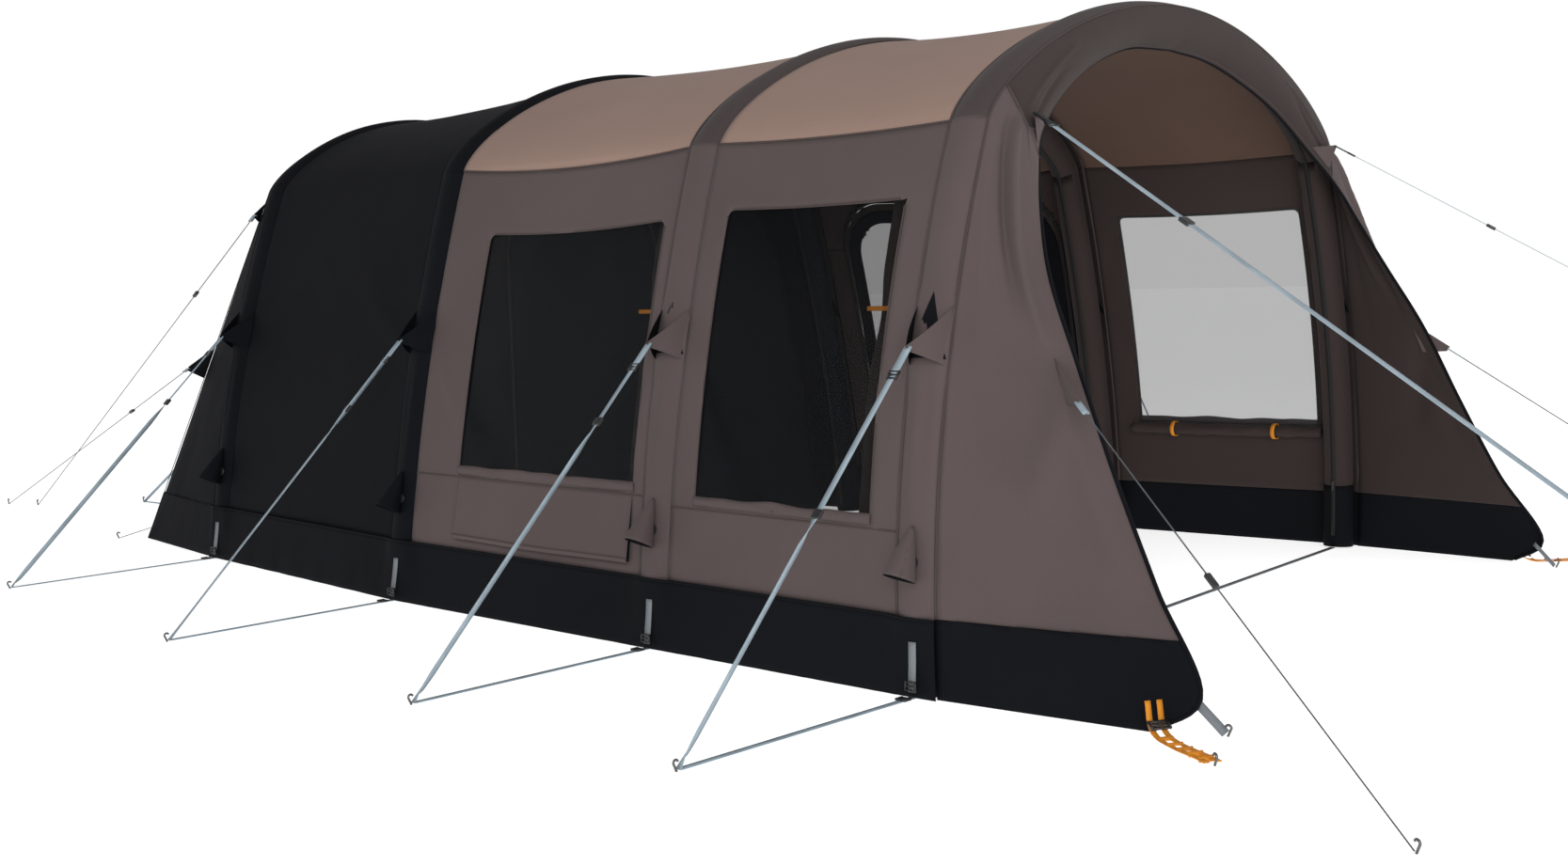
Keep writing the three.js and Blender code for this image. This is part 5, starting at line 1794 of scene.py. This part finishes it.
def buckle(name, centre, along, face, width, body=SHELL, node=(), slot=None):
    """Ladder lock: two side rails joined by three bars."""
    along = along.normalized()
    face = (face - along * face.dot(along)).normalized()
    across = along.cross(face)
    reach, length = width / 2 + 0.004, 0.030
    bm = bmesh.new()
    parts = [(across * s * reach, (length, 0.0045, 0.0070)) for s in (-1, 1)]
    parts += [(along * s * (length / 2 - 0.003), (0.0055, 2 * reach, 0.0055)) for s in (-1, 0, 1)]
    turn = Matrix((along, across, face)).transposed().to_4x4()
    for offset, size in parts:
        made = bmesh.ops.create_cube(bm, size=1.0)["verts"]
        bmesh.ops.scale(bm, verts=made, vec=size)
        bmesh.ops.transform(bm, verts=made, matrix=Matrix.Translation(centre + offset) @ turn)
    return to_object(bm, name, ["plastic"], body, slot, node)


class TENT_OT_fittings(Builder, bpy.types.Operator):
    """Adds the buckles, runners, webbing ends, foot tabs, pegs and corner straps."""

    bl_idname = "tent.fittings"
    bl_label = "Fittings"

    def build(self):
        for side, name in SIDES:
            for arch in ARCHES:
                self.guy_parts(side, name, arch)
                self.foot_tab(side, name, arch)
            self.hood_parts(side, name)
            self.rear_parts(side, name)
            for guy in ROPES:
                tip, end = free_guy(guy, side)[:2]
                self.rope_end(f"{guy}_{name}", tip, end)
            self.corner(side, name)

    def guy_parts(self, side, name, arch):
        tip, end, foot = side_guy(arch, side)
        pull = (end - tip).normalized()
        face = Vector((0, 0, 1)) - pull * pull.z
        ribbon(f"guy_end_{name}_{arch + 1}", line(tip - pull * 0.012, tip + pull * 0.085, 6),
               [face] * 7, 0.025, 0.0052, "webbing")
        buckle(f"guy_buckle_{name}_{arch + 1}", tip + pull * 0.092, pull, face, 0.024)
        runner = f"runner_{name}_{arch + 1}"
        if side < 0:
            low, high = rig.box(runner)
            box_piece(f"{runner}_block", (low + high) / 2, (0.030, 0.030, 0.011), pull, face,
                      "plastic", body=runner, slot="buckle_plastic", node=runner)
        else:
            low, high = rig.box(f"runner_left_{arch + 1}")
            centre = (low + high) / 2
            centre.x *= -1
            box_piece(f"{runner}_block", centre, (0.030, 0.030, 0.011), pull, face, "plastic")
        peg(f"guy_peg_{name}_{arch + 1}", end, end - tip)
        home = (foot - end).normalized()
        up = Vector((0, 0, 1))
        buckle(f"foot_buckle_{name}_{arch + 1}", foot - home * 0.045 + up * 0.004, home, up, 0.024)

    def foot_tab(self, side, name, arch):
        y = ARCH_Y[arch]
        path = [wall_point(side, y, mix(0.165, 0.020, i / 10), 0.0)
                + Vector((side * (0.0025 + 0.010 * (i / 10) ** 2), 0.0, 0.0)) for i in range(11)]
        ribbon(f"foot_tab_{name}_{arch + 1}", path, [Vector((side, 0, 0.1))] * 11, 0.025, 0.0030,
               "grey_webbing")
        centre = path[-2] + Vector((side * 0.006, 0.0, 0.004))
        buckle(f"foot_lock_{name}_{arch + 1}", centre, Vector((0, 0, 1)), Vector((side, 0, 0)), 0.026)

    def hood_parts(self, side, name):
        tip, end = free_guy("guy_hood", side)[:2]
        pull = (end - tip).normalized()
        face = Vector((0, 0, 1)) - pull * pull.z
        ribbon(f"hood_guy_end_{name}", line(tip - pull * 0.010, tip + pull * 0.06, 5),
               [face] * 6, 0.025, 0.0052, "black_webbing")
        buckle(f"hood_guy_lock_{name}", tip + pull * 0.066, pull, face, 0.024)
        box_piece(f"hood_guy_runner_{name}", tip + pull * 0.66, (0.036, 0.031, 0.012), pull, face,
                  "plastic")

    def rear_parts(self, side, name):
        tip, end, foot = free_guy("guy_rear_middle", side)
        pull = (end - tip).normalized()
        face = Vector((0, 0, 1)) - pull * pull.z
        ribbon(f"rear_guy_end_{name}", line(tip - pull * 0.012, tip + pull * 0.085, 6),
               [face] * 7, 0.025, 0.0052, "webbing")
        buckle(f"rear_guy_buckle_{name}", tip + pull * 0.092, pull, face, 0.024)
        peg(f"rear_guy_peg_{name}", end, end - tip)

    def rope_end(self, label, tip, end):
        pull = (end - tip).normalized()
        face = Vector((0, 0, 1)) - pull * pull.z
        ribbon(f"{label}_end", line(tip - pull * 0.008, tip + pull * 0.045, 4), [face] * 5, 0.020,
               0.0046, "webbing")
        box_piece(f"{label}_runner", tip + pull * 0.70, (0.046, 0.016, 0.012), pull, face, "plastic")

    def corner(self, side, name):
        """Straps that peg down the canopy's corner and the rear corner."""
        near = Vector((side * 1.542, FIRST - 0.655, 0.0))
        out = Vector((side * 0.18, -0.26, 0.0)).normalized()
        up = Vector((0, 0, 1))
        start = near + out * 0.012 + up * 0.088
        bend = near + out * 0.040 + up * 0.014
        far = near + out * 0.315 + up * 0.006
        across = Vector((-out.y, out.x, 0.0))
        for shift in (-0.017, 0.017):
            path = EvenCurve([start, bend, far], 40)
            points = [path.at(i / 24) + across * shift for i in range(25)]
            faces = [(out + up).normalized()] * 25
            ribbon(f"corner_strap_{name}_{'a' if shift < 0 else 'b'}", points, faces, 0.016, 0.0030,
                   "orange")
        for i in range(5):
            centre = path.at(0.35 + 0.14 * i)
            rung = line(centre - across * 0.022, centre + across * 0.022, 2)
            ribbon(f"corner_rung_{name}_{i + 1}", rung,
                   [(out + up).normalized()] * 3, 0.017, 0.0040, "orange")
        buckle(f"corner_lock_{name}", near + out * 0.045 + up * 0.030, out - up * 0.6, out + up, 0.046)
        peg(f"corner_peg_{name}", near + out * 0.318, out)
        loop_at = Vector((side * 1.470, FIRST - 0.800, 0.0))
        low_end = loop_at + Vector((0, -0.03, 0.006))
        hang = line(loop_at + Vector((side * 0.012, 0.05, 0.085)), low_end, 8)
        ribbon(f"corner_loop_{name}", hang, [out] * 9, 0.025, 0.0030, "grey_webbing")
        peg(f"corner_loop_peg_{name}", loop_at + Vector((0, -0.03, 0)), Vector((0, -1, 0)))
        rear = Vector((side * REAR_HALF_WIDTH, ARCH_Y[3] + REAR_LENGTH, 0.0))
        out = Vector((side * 0.6, 0.8, 0.0)).normalized()
        strap = line(rear - out * 0.01 + up * 0.05, rear + out * 0.14 + up * 0.005, 8)
        ribbon(f"rear_corner_strap_{name}", strap, [(out + up).normalized()] * 9, 0.022, 0.0030,
               "black_webbing")
        peg(f"rear_corner_peg_{name}", rear + out * 0.145, out)


# ---- add-on ----
PIECES = (
    TENT_OT_stage, TENT_OT_guys, TENT_OT_beams, TENT_OT_sleeves, TENT_OT_walls, TENT_OT_roof,
    TENT_OT_bedroom_fly, TENT_OT_mud_flaps, TENT_OT_canopy, TENT_OT_windows, TENT_OT_vent,
    TENT_OT_side_door, TENT_OT_inner_tent, TENT_OT_fittings)


class TENT_PT_panel(bpy.types.Panel):
    """Lists the tent's sizes, colours and pieces."""

    bl_idname = "TENT_PT_panel"
    bl_label = "Tunnel Tent"
    bl_space_type = "VIEW_3D"
    bl_region_type = "UI"
    bl_category = "Tent"

    def draw(self, context):
        for group in (sizes(), colours()):
            column = self.layout.column(align=True)
            for key in group.__annotations__:
                column.prop(group, key)
        column = self.layout.column(align=True)
        for piece in PIECES:
            column.operator(piece.bl_idname)


CLASSES = (TentSizes, TentColours, *PIECES, TENT_PT_panel)


def register():
    for cls in CLASSES:
        bpy.utils.register_class(cls)
    bpy.types.Scene.tent_sizes = PointerProperty(type=TentSizes)
    bpy.types.Scene.tent_colours = PointerProperty(type=TentColours)


def unregister():
    del bpy.types.Scene.tent_colours
    del bpy.types.Scene.tent_sizes
    for cls in reversed(CLASSES):
        bpy.utils.unregister_class(cls)


def numbers(box):
    return [[round(value, 4) for value in corner] for corner in box]


def main():
    register()
    for piece in PIECES:
        group, action = piece.bl_idname.split(".")
        getattr(getattr(bpy.ops, group), action)()
    with open("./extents.json", "w") as target:
        json.dump({"cad_box": numbers(CAD_BOX), "visual_box": numbers(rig.bounds())}, target)


if __name__ == "__main__":
    main()
